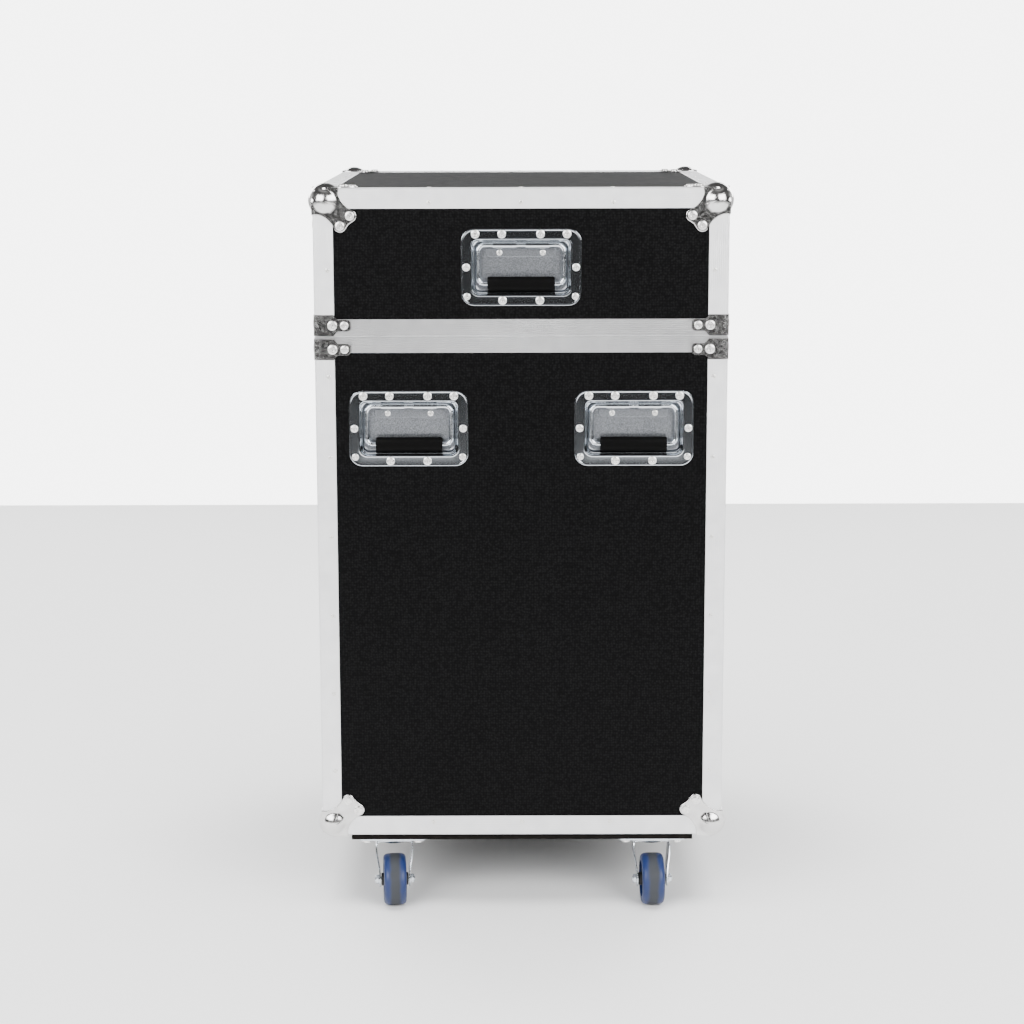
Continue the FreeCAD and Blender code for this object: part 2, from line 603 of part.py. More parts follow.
def dish_rivets(x, z):
    """Ten rivets round a handle dish on the +Y face, and the two of its hinge leaf."""
    wide = cell("dish_width") / 2
    high = cell("dish_height") / 2
    radius = cell("dish_rivet")
    side = (wide + cell("mouth_width") / 2) / 2
    top = (high + cell("mouth_height") / 2) / 2
    spots = [(0.76 * wide, top, 1), (0.32 * wide, top, 1), (side, 0, 0.9), (0.31 * wide, -top, 1),
             (side - 1, -top + 6, 0.82)]
    for across, up, share in spots:
        for way in (-1, 1):
            yield dome(Vector(x + way * across, half_y, z + up), Vector(0, 1, 0), radius * share)
    leaf_face = half_y - cell("dish_depth") + cell("leaf_thick")
    leaf_z = z + cell("mouth_height") / 2 - cell("leaf_drop") - cell("leaf_height") / 2
    for way in (-1, 1):
        yield dome(Vector(x + way * cell("leaf_rivets") / 2, leaf_face, leaf_z), Vector(0, 1, 0), radius * 0.7)


def all_quarters(heads):
    """The rivets of the +X +Y quarter, and their mirror images; one in a mirror's plane counts once."""
    shapes = []
    for head in heads:
        centre = head.BoundBox.Center
        for sx in ((1,) if abs(centre.x) < 0.01 else (1, -1)):
            for sy in (1, -1):
                copy = head
                if sx < 0:
                    copy = copy.mirror(Vector(), Vector(1, 0, 0))
                if sy < 0:
                    copy = copy.mirror(Vector(), Vector(0, 1, 0))
                shapes.append(copy)
    return shapes


def front_and_back(heads):
    return [copy for head in heads for copy in (head, head.mirror(Vector(), Vector(0, 1, 0)))]


post_levels = []
rivet_level = split_z - cell("post_rivet_first") / 2 + cell("post_rivet_pitch") / 6
while rivet_level > base_z + cell("ear_far") + cell("ear_lobe"):
    post_levels.append(rivet_level)
    rivet_level -= cell("post_rivet_pitch")

base_heads = list(corner_rivets(base_z, 1)) + list(edge_rivets(base_z, 1, True))
base_heads += list(bracket_rivets(split_z - cell("bracket_drop") - cell("bracket_tall")))
base_heads += list(post_rivets(post_levels))
base_rivets = all_quarters(base_heads)
for way in (-1, 1):
    base_rivets += front_and_back(dish_rivets(way * cell("handle_spread"), cell("handle_height")))
keep(feature("base_rivet_heads", Part.makeCompound(base_rivets)), "base_rivets")

lid_middle = (lid_z + cell("bracket_tall") + top_z - cell("ear_far")) / 2
lid_heads = list(corner_rivets(top_z, -1)) + list(edge_rivets(top_z, -1, False))
lid_heads += list(bracket_rivets(lid_z)) + list(post_rivets([lid_middle]))
lid_rivets = all_quarters(lid_heads) + front_and_back(dish_rivets(0, cell("lid_handle_height")))
keep(feature("lid_rivet_heads", Part.makeCompound(lid_rivets)), "lid_rivets")


# ---------------------------------------------------------------- recessed handles

def rounded_outline(half_wide, half_high, top, bottom, depth):
    """A closed outline in X and Z at a Y depth: chamfered top corners, rounded bottom corners."""
    def at(x, z):
        return Vector(x, depth, z)

    turn = bottom * (1 - math.sqrt(0.5))
    top = min(top, half_high / 2)
    points = [at(half_wide, -half_high + bottom), at(half_wide, half_high - top),
              at(half_wide - top, half_high), at(-half_wide + top, half_high),
              at(-half_wide, half_high - top), at(-half_wide, -half_high + bottom),
              at(-half_wide + bottom, -half_high), at(half_wide - bottom, -half_high)]
    left_arc = Part.Arc(points[5], at(-half_wide + turn, -half_high + turn), points[6])
    right_arc = Part.Arc(points[7], at(half_wide - turn, -half_high + turn), points[0])
    edges = [Part.makeLine(points[i], points[i + 1]) for i in range(5)]
    edges += [left_arc.toShape(), Part.makeLine(points[6], points[7]), right_arc.toShape()]
    return Part.Wire(edges)


def recess(grow, front, back):
    """The tapered pocket of a dish; grow is the wall outside its inner faces."""
    wide = cell("mouth_width") / 2 + grow
    high = cell("mouth_height") / 2 + grow
    taper = cell("mouth_taper")
    chamfer = cell("mouth_chamfer")
    mouth = rounded_outline(wide, high, chamfer, chamfer + grow, front)
    floor = rounded_outline(wide - taper, high - taper, chamfer, chamfer + grow, back)
    return Part.makeLoft([mouth, floor], True, True)


def handle_dish():
    """A pressed dish for the +Y face, centred on x = 0, z = 0, with its hinge leaf and knuckle."""
    wall = cell("dish_wall")
    depth = cell("dish_depth")
    half_wide = cell("dish_width") / 2
    half_high = cell("dish_height") / 2
    flange = Part.makeBox(2 * half_wide, wall, 2 * half_high, Vector(-half_wide, half_y - wall, -half_high))
    corners = [edge for edge in flange.Edges if abs(edge.BoundBox.YLength - wall) < 1e-6]
    flange = flange.makeFillet(cell("dish_round"), corners)
    shell = flange.fuse(recess(wall, half_y - wall / 2, half_y - depth - wall))
    dish = shell.cut(recess(0, half_y + wall, half_y - depth)).removeSplitter()

    axis_y = half_y - cell("bail_inset")
    axis_z = cell("mouth_height") / 2 - cell("hinge_drop")
    floor_y = half_y - depth
    long = cell("knuckle_length")
    leaf_wide = cell("leaf_width")
    leaf_thick = cell("leaf_thick")
    leaf_low = cell("mouth_height") / 2 - cell("leaf_drop") - cell("leaf_height")
    leaf = Part.makeBox(leaf_wide, leaf_thick, axis_z - leaf_low, Vector(-leaf_wide / 2, floor_y, leaf_low))
    web = Part.makeBox(long, axis_y - floor_y, leaf_thick * 2, Vector(-long / 2, floor_y, axis_z - leaf_thick))
    start = Vector(-long / 2, axis_y, axis_z)
    knuckle = Part.makeCylinder(cell("knuckle_radius"), long, start, Vector(1, 0, 0))
    bore_radius = cell("bail_radius") + cell("pin_clearance")
    bore = Part.makeCylinder(bore_radius, long, start, Vector(1, 0, 0))
    hinge = leaf.fuse(web).fuse(knuckle).cut(bore)
    return [dish, hinge.removeSplitter()]


def bail():
    """A closed loop of round bar for the +Y face: the hinge bar on top and the grip bar below."""
    radius = cell("bail_radius")
    bend = cell("bail_bend")
    wide = cell("bail_width") / 2
    top = cell("mouth_height") / 2 - cell("hinge_drop")
    low = -cell("mouth_height") / 2 + cell("grip_rise")
    turn = bend * (1 - math.sqrt(0.5))
    y = half_y - cell("bail_inset")

    def at(x, z):
        return Vector(x, y, z)

    edges = [Part.makeLine(at(0, top), at(wide - bend, top)),
             Part.Arc(at(wide - bend, top), at(wide - turn, top - turn), at(wide, top - bend)).toShape(),
             Part.makeLine(at(wide, top - bend), at(wide, low + bend)),
             Part.Arc(at(wide, low + bend), at(wide - turn, low + turn), at(wide - bend, low)).toShape(),
             Part.makeLine(at(wide - bend, low), at(-wide + bend, low)),
             Part.Arc(at(bend - wide, low), at(turn - wide, low + turn), at(-wide, low + bend)).toShape(),
             Part.makeLine(at(-wide, low + bend), at(-wide, top - bend)),
             Part.Arc(at(-wide, top - bend), at(turn - wide, top - turn), at(bend - wide, top)).toShape(),
             Part.makeLine(at(bend - wide, top), at(0, top))]
    ring = Part.Wire(Part.makeCircle(radius, at(0, top), Vector(1, 0, 0)))
    return Part.Wire(edges).makePipeShell([ring], True, False)


def grip_body():
    """The moulded sleeve on the grip bar: a flat-sided oval with the bar's hole through it."""
    y = f"({HALF_Y} - size.bail_inset)"
    z = "(size.grip_rise - size.mouth_height / 2)"
    start_x = "-size.grip_length / 2"
    half_deep = "size.grip_depth / 2"
    offset = f"(size.grip_height / 2 - {half_deep})"
    top = rod("grip_top", "x", (start_x, y, f"{z} + {offset}"), half_deep, "size.grip_length")
    low = rod("grip_low", "x", (start_x, y, f"{z} - {offset}"), half_deep, "size.grip_length")
    middle = block("grip_middle", (start_x, f"{y} - {half_deep}", f"{z} - {offset}"),
                   ("size.grip_length / 2", f"{y} + {half_deep}", f"{z} + {offset}"))
    bore = rod("grip_bore", "x", (start_x, y, z), "size.bail_radius", "size.grip_length")
    return cut("grip", fuse("grip_oval", [top, low, middle]), [bore])


def place_copy(name, item, x, z):
    """A copy of a +Y handle piece at a place on that face."""
    copy = group(name, [item])
    copy.setExpression("Placement.Base.x", x)
    copy.setExpression("Placement.Base.z", z)
    return copy


dish_item = feature("dish_pattern", Part.makeCompound(handle_dish()))
bail_item = feature("bail_pattern", bail())
grip_item = grip_body()
HANDLES = [("left", "-size.handle_spread", "size.handle_height"),
           ("right", "size.handle_spread", "size.handle_height"),
           ("lid", "0", "size.lid_handle_height")]
base_dishes = []
lid_dishes = []
for spot, x, z in HANDLES:
    at_back = {kind: place_copy(f"{kind}_{spot}_back", item, x, z)
               for kind, item in (("dish", dish_item), ("bail", bail_item), ("grip", grip_item))}
    at_front = {kind: mirrored(f"{kind}_{spot}_front", item, Vector(0, 1, 0)) for kind, item in at_back.items()}
    for end_name, pieces in (("front", at_front), ("back", at_back)):
        keep(pieces["bail"], f"{end_name}_{spot}_handle_bail")
        keep(pieces["grip"], f"{end_name}_{spot}_handle_grip")
        (lid_dishes if spot == "lid" else base_dishes).append(pieces["dish"])
keep(group("base_dishes", base_dishes), "base_handle_dishes")
keep(group("lid_dishes", lid_dishes), "lid_handle_dishes")


# ---------------------------------------------------------------- turn latches, for the +X face

def tray(name, low_z, high_z, open_low):
    """A pressed tray, open at the side where the case splits."""
    half = "size.latch_mouth / 2"
    wall = "size.dish_wall"
    flange = block(name + "_flange", (f"{HALF_X} - {wall}", "-size.latch_width / 2", low_z),
                   (HALF_X, "size.latch_width / 2", high_z))
    border_low = low_z if open_low else f"{low_z} + size.latch_border"
    border_high = f"{high_z} - size.latch_border" if open_low else high_z
    wall_low = border_low if open_low else f"{border_low} - {wall}"
    wall_high = f"{border_high} + {wall}" if open_low else border_high
    shell = block(name + "_shell", (f"{HALF_X} - size.latch_depth - {wall}", f"-{half} - {wall}", wall_low),
                  (HALF_X, f"{half} + {wall}", wall_high))
    room = block(name + "_room", (f"{HALF_X} - size.latch_depth", f"-{half}", border_low),
                 (f"{HALF_X} + 5", half, border_high))
    return cut(name, fuse(name + "_blank", [flange, shell]), [room])


def latch_tray():
    """The base tray with the two lugs that carry the claw's hinge pin."""
    dish = tray("latch_tray", f"{SPLIT_Z} - size.latch_base", SPLIT_Z, False)
    hinge_z = f"({SPLIT_Z} - size.claw_hinge)"
    pin_x = f"({HALF_X} - size.claw_inset - size.claw_thick / 2)"
    lugs = []
    for i, side in enumerate((-1, 1)):
        near = f"{side} * (size.claw_width / 2 + 1) - (1 - {side}) * 1.5"
        lugs.append(block(f"latch_lug_{i}", (f"{HALF_X} - size.latch_depth", near, f"{hinge_z} - 5"),
                          (f"{pin_x} + size.claw_pin", f"{near} + 3", f"{hinge_z} + 5")))
    pin = rod("latch_pin", "y", (pin_x, "-size.claw_width / 2 - 4", hinge_z),
              "size.claw_pin - size.pin_clearance", "size.claw_width + 8")
    return group("latch_tray_set", [fuse("latch_tray_joined", [dish] + lugs + [pin])])


def keeper_tray():
    """The lid tray, and between two posts the bar that the claw hooks over."""
    dish = tray("keeper_tray", LID_Z, f"{LID_Z} + size.latch_lid", True)
    level = f"{LID_Z} + size.keeper_height"
    bar_x = f"({HALF_X} - size.claw_inset - size.claw_thick - size.keeper_radius - 1)"
    bar = rod("keeper_bar", "y", (bar_x, "-size.keeper_length / 2 + 3", level), "size.keeper_radius",
              "size.keeper_length - 6")
    posts = []
    for i, side in enumerate((-1, 1)):
        near = f"{side} * (size.keeper_length / 2 - 1.5) - 1.5"
        posts.append(block(f"keeper_post_{i}", (f"{HALF_X} - size.latch_depth", near, f"{level} - 4"),
                           (f"{bar_x} + 3", f"{near} + 3", f"{level} + 4")))
    return group("keeper_tray_set", [dish, bar] + posts)


def claw():
    """The hooked plate, drawn closed: its foot turns on the pin and its hook lies over the keeper bar."""
    outer = f"({HALF_X} - size.claw_inset)"
    inner = f"({HALF_X} - size.claw_inset - size.claw_thick)"
    hinge_z = f"({SPLIT_Z} - size.claw_hinge)"
    half = "size.claw_width / 2"
    hook_z = f"({LID_Z} + size.claw_reach)"
    plate = block("claw_plate", (inner, f"-{half}", hinge_z), (outer, half, hook_z))
    hook = block("claw_hook", (f"{inner} - size.hook_depth", f"-{half}", f"{hook_z} - size.hook_thick"),
                 (inner, half, hook_z))
    eye = rod("claw_eye", "y", (f"{outer} - size.claw_thick / 2", f"-{half}", hinge_z),
              "size.claw_pin + size.claw_eye_wall", "size.claw_width")
    bore = rod("claw_bore", "y", (f"{outer} - size.claw_thick / 2", f"-{half}", hinge_z), "size.claw_pin",
               "size.claw_width")
    boss = rod("claw_boss", "x", (outer, "0", f"{SPLIT_Z} - size.wing_drop"), "size.wing_boss / 2", "1")
    return cut("claw_closed", fuse("claw_blank", [plate, hook, eye, boss]), [bore])


def wing():
    """The butterfly wing: two rounded leaves either side of a round boss."""
    body = doc.addObject("PartDesign::Body", "wing_body")
    level = f"({SPLIT_Z} - size.wing_drop)"
    start = f"{HALF_X} - size.claw_inset + 1 + size.pin_clearance"
    outline = [("-size.wing_span / 2", f"{level} - 7"), ("-size.wing_span / 2 + 5", f"{level} - 10"),
               ("-6", f"{level} - 5"), ("6", f"{level} - 5"), ("size.wing_span / 2 - 5", f"{level} - 10"),
               ("size.wing_span / 2", f"{level} - 7"), ("size.wing_span / 2", f"{level} + 7"),
               ("size.wing_span / 2 - 5", f"{level} + 10"), ("6", f"{level} + 5"), ("-6", f"{level} + 5"),
               ("-size.wing_span / 2 + 5", f"{level} + 10"), ("-size.wing_span / 2", f"{level} + 7")]
    pad(body, sketch(body, "wing_outline", "YZ_Plane", outline, offset=start), "size.wing_thick")
    cap = sketch(body, "wing_cap", "YZ_Plane", circles=[(("0", level), "size.wing_boss")], offset=start)
    pad(body, cap, "size.wing_thick + 1")
    return body


def released(name, item):
    """The item swung out about the claw's pin, clear of the keeper."""
    copy = group(name, [item])
    angle = math.radians(cell("release_angle"))
    pin_x = half_x - cell("claw_inset") - cell("claw_thick") / 2
    pin_z = split_z - cell("claw_hinge")
    turn = Rotation(Vector(0, 1, 0), math.degrees(angle))
    copy.Placement = Placement(Vector(), turn, Vector(pin_x, 0, pin_z))
    return copy


def latch_copies(name, item):
    """The +X latch piece moved to its four places."""
    copies = {}
    for end_name, end in ENDS:
        moved = group(f"{name}_{end_name}_right", [item])
        moved.setExpression("Placement.Base.y", f"{end} * size.latch_spread")
        copies[f"{end_name}_right"] = moved
        copies[f"{end_name}_left"] = mirrored(f"{name}_{end_name}_left", moved, Vector(1, 0, 0))
    return copies


keep(group("latch_trays", list(latch_copies("tray", latch_tray()).values())), "base_latch_dishes")
keep(group("keeper_trays", list(latch_copies("keeper", keeper_tray()).values())), "lid_latch_keepers")
for spot, item in latch_copies("claw", released("claw_out", claw())).items():
    keep(item, f"{spot}_latch_claw")
for spot, item in latch_copies("wing", released("wing_out", wing())).items():
    keep(item, f"{spot}_latch_wing")


# ---------------------------------------------------------------- rack rails

RAIL_Z = f"({SPLIT_Z} - size.rail_drop)"
RAIL_LONG = "(size.rack_units * size.unit_height)"


def rack_rail():
    """The right-hand rail: an angle along Y, its face up, with three holes in each rack unit."""
    face = block("rail_face", ("size.rail_inner / 2", f"-{RAIL_LONG} / 2", f"{RAIL_Z} - size.rail_thick"),
                 ("size.rail_outer / 2", f"{RAIL_LONG} / 2", RAIL_Z))
    leg = block("rail_leg", ("size.rail_outer / 2 - size.rail_thick", f"-{RAIL_LONG} / 2",
                             f"{RAIL_Z} - size.rail_leg"),
                ("size.rail_outer / 2", f"{RAIL_LONG} / 2", RAIL_Z))
    holes = []
    for unit in range(int(cell("rack_units"))):
        for step in range(3):
            y = f"-{RAIL_LONG} / 2 + {unit} * size.unit_height + size.unit_edge + {step} * size.unit_pitch"
            holes.append(rod(f"rail_hole_{unit}_{step}", "z",
                             ("size.rail_hole_spacing / 2", y, f"{RAIL_Z} - size.rail_thick - 1"),
                             "size.rail_hole", "size.rail_thick + 2"))
    return cut("rail", fuse("rail_angle", [face, leg]), holes)


keep(group("rails", both_sides("rail", rack_rail(), Vector(1, 0, 0))), "rack_rails")
batten = block("batten", ("size.rail_outer / 2", f"-{RAIL_LONG} / 2", f"{RAIL_Z} - size.batten_tall"),
               (ROOM_X, f"{RAIL_LONG} / 2", RAIL_Z))
keep(group("battens", both_sides("batten", batten, Vector(1, 0, 0))), "rack_battens")


# ---------------------------------------------------------------- castors, drawn on a swivel axis at x = y = 0

PLATE_Z = "(size.caster_height - size.caster_plate_thick)"
CROWN_Z = f"({PLATE_Z} - size.bearing_tall - size.fork_gap)"
AXLE_Z = "(size.wheel_diameter / 2)"
AXLE_Y = "(-size.caster_trail)"


def caster_plate():
    """The mounting plate with its bearing cup and king pin."""
    plate = block("caster_flange", ("-size.caster_plate_x / 2", "-size.caster_plate_y / 2", PLATE_Z),
                  ("size.caster_plate_x / 2", "size.caster_plate_y / 2", "size.caster_height"))
    cup = rod("caster_cup", "z", ("0", "0", f"{PLATE_Z} - size.bearing_tall"), "size.bearing_radius",
              "size.bearing_tall")
    pin = rod("king_pin", "z", ("0", "0", f"{CROWN_Z} - size.fork_thick - 3"),
              "size.king_pin - size.pin_clearance", "size.bearing_tall + size.fork_thick + size.fork_gap + 3")
    head = rod("king_pin_head", "z", ("0", "0", f"{CROWN_Z} - size.fork_thick - 4.4"), "size.king_pin + 2", "4")
    holes = [rod(f"plate_hole_{ox + 1}_{oy + 1}", "z",
                 (f"{ox} * size.bolt_spacing_x / 2", f"{oy} * size.bolt_spacing_y / 2", f"{PLATE_Z} - 1"),
                 "size.bolt_radius + size.bolt_clearance", "size.caster_plate_thick + 2")
             for ox in (-1, 1) for oy in (-1, 1)]
    return cut("caster_plate", fuse("caster_plate_blank", [plate, cup, pin, head]), holes)


def caster_fork():
    """The swivelling fork: a crown, two raked legs that draw in towards the axle, and its bolt."""
    wide = "(size.fork_shoulder / 2)"
    narrow = "(size.fork_outside / 2)"
    foot = "size.fork_boss"
    ahead = "(size.crown_radius * 0.5)"
    behind = "(-size.crown_radius * 0.75)"
    crown = rod("fork_crown", "z", ("0", "0", f"{CROWN_Z} - size.fork_thick"), "size.crown_radius",
                "size.fork_thick")
    bridge = block("fork_bridge", (f"-{wide}", behind, f"{CROWN_Z} - size.fork_thick"), (wide, ahead, CROWN_Z))
    hole = rod("fork_hole", "z", ("0", "0", f"{CROWN_Z} - size.fork_thick - 1"), "size.king_pin",
               "size.fork_thick + 2")
    side = doc.addObject("PartDesign::Body", "fork_leg_side")
    outline = [(ahead, CROWN_Z), (f"{AXLE_Y} + {foot} * 0.8", f"{AXLE_Z} - {foot} * 0.6"),
               (f"{AXLE_Y}", f"{AXLE_Z} - {foot}"), (f"{AXLE_Y} - {foot} * 0.8", f"{AXLE_Z} - {foot} * 0.6"),
               (f"{AXLE_Y} - {foot}", f"{AXLE_Z} + {foot} * 0.3"), (behind, CROWN_Z)]
    drawing = sketch(side, "fork_leg_outline", "YZ_Plane", outline, offset=f"{narrow} - 6")
    pad(side, drawing, "size.fork_shoulder")
    front = doc.addObject("PartDesign::Body", "fork_leg_front")
    knee = f"{CROWN_Z} - size.fork_straight"
    ankle = f"{AXLE_Z} + {foot}"
    profile = [(wide, CROWN_Z), (wide, knee), (narrow, ankle), (narrow, "0"),
               (f"{narrow} - size.fork_thick", "0"), (f"{narrow} - size.fork_thick", ankle),
               (f"{wide} - size.fork_thick", knee), (f"{wide} - size.fork_thick", CROWN_Z)]
    pad(front, sketch(front, "fork_leg_profile", "XZ_Plane", profile), "size.caster_height * 2", symmetric=True)
    leg = doc.addObject("Part::MultiCommon", "fork_leg")
    leg.Shapes = [side, front]
    legs = both_sides("fork_leg", leg, Vector(1, 0, 0))
    shell = cut("fork_shell", fuse("fork_blank", [crown, bridge] + legs), [hole])
    reach = f"({narrow} + size.axle_head_tall)"
    shaft = rod("axle_shaft", "x", (f"-{reach}", AXLE_Y, AXLE_Z), "size.axle_radius", f"2 * {reach}")
    heads = [rod(f"axle_head_{i}", "x", (start, AXLE_Y, AXLE_Z), "size.axle_head", "size.axle_head_tall")
             for i, start in enumerate((f"-{reach}", narrow))]
    return fuse("caster_fork", [shell, shaft] + heads)


def wheel_tread():
    """The elastic tyre, turned about the axle: flat in the middle and rounded at its shoulders."""
    body = doc.addObject("PartDesign::Body", "tread_body")
    radius = "size.wheel_diameter / 2"
    half = "size.wheel_width / 2"
    outline = [(f"-{half} + size.tread_round", radius), (f"{half} - size.tread_round", radius),
               (f"{half} - size.tread_round * 0.3", f"{radius} - size.tread_round * 0.3"),
               (half, f"{radius} - size.tread_round"), (half, f"{radius} - size.tread_thick"),
               (f"-{half}", f"{radius} - size.tread_thick"), (f"-{half}", f"{radius} - size.tread_round"),
               (f"-{half} + size.tread_round * 0.3", f"{radius} - size.tread_round * 0.3")]
    turned(body, "tread_outline", outline)
    return body


def wheel_hub():
    """The moulded hub: a rim, a thin web and a boss on the axle."""
    body = doc.addObject("PartDesign::Body", "hub_body")
    rim_out = "size.wheel_diameter / 2 - size.tread_thick"
    rim_in = f"{rim_out} - 4"
    half = "size.hub_width / 2"
    bore = "size.axle_radius + size.pin_clearance"
    boss = "size.fork_outside / 2 - size.fork_thick - size.wheel_clearance"
    outline = [(f"-({half})", rim_out), (half, rim_out), (half, rim_in), ("4", rim_in), ("4", "size.hub_boss"),
               (boss, "size.hub_boss"), (boss, bore), (f"-({boss})", bore), (f"-({boss})", "size.hub_boss"),
               ("-4", "size.hub_boss"), ("-4", rim_in), (f"-({half})", rim_in)]
    turned(body, "hub_outline", outline)
    return body


def turned(body, name, outline):
    """Turns an outline of (along, radius) points about an axle along X through the body's origin."""
    drawing = sketch(body, name, "XY_Plane", outline)
    solid = body.newObject("PartDesign::Revolution", name + "_turn")
    solid.Profile = drawing
    solid.ReferenceAxis = (plane_of(body, "X_Axis"), [""])
    solid.Angle = 360


def caster_copy(name, item, spot, turn, up="0", back="0"):
    """A castor piece moved to its swivel axis and turned about it."""
    (sx, sy) = spot
    inner = group(name + "_on_axis", [item])
    inner.setExpression("Placement.Base.y", back)
    inner.setExpression("Placement.Base.z", up)
    copy = group(name, [inner])
    copy.setExpression("Placement.Base.x", f"{sx} * ({HALF_X} - size.caster_inset_x)")
    copy.setExpression("Placement.Base.y", f"{sy} * ({HALF_Y} - size.caster_inset_y)")
    copy.setExpression("Placement.Rotation.Angle", turn)
    return copy


plate_item = caster_plate()
fork_item = caster_fork()
tread_item = wheel_tread()
hub_item = wheel_hub()
plates = []
for spot_name, spot, turn_alias in CASTERS:
    plates.append(caster_copy(f"plate_{spot_name}", plate_item, spot, "0"))
    turn = f"size.{turn_alias}"
    keep(caster_copy(f"fork_{spot_name}", fork_item, spot, turn), f"{spot_name}_caster_fork")
    keep(caster_copy(f"tread_{spot_name}", tread_item, spot, turn, AXLE_Z, AXLE_Y), f"{spot_name}_wheel_tread")
    keep(caster_copy(f"hub_{spot_name}", hub_item, spot, turn, AXLE_Z, AXLE_Y), f"{spot_name}_wheel_hub")
keep(group("plates", plates), "caster_plates")


def hexagon(radius, tall, foot):
    points = [Vector(radius * math.cos(math.radians(60 * i)), radius * math.sin(math.radians(60 * i)), foot)
              for i in range(7)]
    return Part.Face(Part.makePolygon(points)).extrude(Vector(0, 0, tall))


def caster_bolts():
    """Hexagon bolts up through plate, board and floor, each with a nut inside the case."""
    head = cell("bolt_head")
    tall = cell("bolt_head_tall")
    low = cell("caster_height") - cell("caster_plate_thick")
    high = base_z + cell("edge_thick") + cell("panel_thick")
    shank = Part.makeCylinder(cell("bolt_radius"), high + tall - low, Vector(0, 0, low))
    one = shank.fuse([hexagon(head, tall, low - tall), hexagon(head, tall, high)]).removeSplitter()
    shapes = []
    for _, (sx, sy), _ in CASTERS:
        for ox in (-0.5, 0.5):
            for oy in (-0.5, 0.5):
                spot = Vector(sx * (half_x - cell("caster_inset_x")) + ox * cell("bolt_spacing_x"),
                              sy * (half_y - cell("caster_inset_y")) + oy * cell("bolt_spacing_y"), 0)
                shapes.append(one.translated(spot))
    return shapes


keep(feature("bolts", Part.makeCompound(caster_bolts())), "caster_bolts")


# ---------------------------------------------------------------- checks and files

doc.recompute()
for item in doc.Objects:
    if "Invalid" in item.State or "Error" in item.State:
        raise RuntimeError(f"{item.Label} failed: {item.State}")
for item in SUB_PARTS:
    if item.Shape.isNull() or not item.Shape.isValid() or not item.Shape.Solids:
        raise RuntimeError(f"{item.Label} has no valid solid")

os.makedirs("parts", exist_ok=True)
for item in SUB_PARTS:
    item.Shape.exportStep(f"parts/{item.Label}.step")
print(len(SUB_PARTS), "sub-parts written")
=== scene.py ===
import json
import math

import bmesh
import bpy
import numpy as np
from mathutils import Euler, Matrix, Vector


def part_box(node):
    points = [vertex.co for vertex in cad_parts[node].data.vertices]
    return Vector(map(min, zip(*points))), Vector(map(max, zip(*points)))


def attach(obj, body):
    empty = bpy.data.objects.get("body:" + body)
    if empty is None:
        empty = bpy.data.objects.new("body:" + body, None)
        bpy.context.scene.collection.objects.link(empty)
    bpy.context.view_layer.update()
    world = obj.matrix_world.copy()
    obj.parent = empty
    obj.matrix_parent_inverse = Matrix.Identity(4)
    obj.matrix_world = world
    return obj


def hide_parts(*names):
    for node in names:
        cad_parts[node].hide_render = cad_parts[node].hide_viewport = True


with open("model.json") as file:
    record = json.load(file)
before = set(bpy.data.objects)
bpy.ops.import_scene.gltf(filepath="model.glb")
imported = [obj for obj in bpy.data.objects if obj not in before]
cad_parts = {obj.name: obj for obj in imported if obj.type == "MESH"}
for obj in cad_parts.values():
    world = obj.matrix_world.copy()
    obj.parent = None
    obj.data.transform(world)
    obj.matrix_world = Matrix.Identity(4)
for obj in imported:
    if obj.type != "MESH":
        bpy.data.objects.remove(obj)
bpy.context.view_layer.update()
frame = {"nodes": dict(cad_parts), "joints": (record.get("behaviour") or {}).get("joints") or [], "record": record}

MM = 0.001


# ---------------------------------------------------------------- sizes, in millimetres

EDGE_LEG = 30.0
EDGE_WALL = 1.5
EDGE_ROUND = 1.4
RIB_DEPTH = 0.22
RIM_WIDE = 12.0
RIM_TALL = 25.0
TONGUE = 4.4
PLATE = 1.5
BALL_RADIUS = 25.5
BALL_INSET = 18.0
BALL_FILLET = 0.9
PLATE_EDGE_FALL = 0.45
EAR_FAR = 55.5
EAR_NEAR = 40.5
EAR_LOBE = 9.5
PLATE_REACH = 39.0
PLATE_SHOULDER = 8.0
MOUTH_WIDE = 148.0
MOUTH_HIGH = 83.0
DISH_WIDE = 180.0
DISH_HIGH = 115.0
DISH_DEPTH = 20.0
BAIL_WIDE = 129.0
BAIL_INSET = 12.0
BAIL_RADIUS = 4.0
HINGE_DROP = 9.0
GRIP_RISE = 15.5


def node_box(name):
    """A CAD node's lowest and highest corners in millimetres."""
    low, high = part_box(name)
    return np.array(low) / MM, np.array(high) / MM


case_low, case_high = node_box("base_bottom_edges")
HALF_X = case_high[0]
HALF_Y = case_high[1]
FOOT_Z = case_low[2]
SPLIT_Z = node_box("base_rim_edges")[1][2]
LID_Z = node_box("lid_rim_edges")[0][2] + TONGUE
TOP_Z = node_box("lid_top_edges")[1][2]


# ---------------------------------------------------------------- camera, lights and floor

CAMERA_AT = (-0.0130, -HALF_Y * MM - 3.271, 1.2766)
CAMERA_DOWN = math.radians(9.54)
CAMERA_ROLL = math.radians(0.133)
CAMERA_LENS = 77.16
CAMERA_SHIFT = -0.0605


def make_camera():
    data = bpy.data.cameras.new("camera")
    data.lens = CAMERA_LENS
    data.sensor_width = 36
    data.shift_y = CAMERA_SHIFT
    data.clip_end = 50
    camera = bpy.data.objects.new("camera", data)
    camera.location = CAMERA_AT
    camera.rotation_euler = Euler((math.pi / 2 - CAMERA_DOWN, CAMERA_ROLL, 0), "XYZ")
    bpy.context.collection.objects.link(camera)
    bpy.context.scene.camera = camera


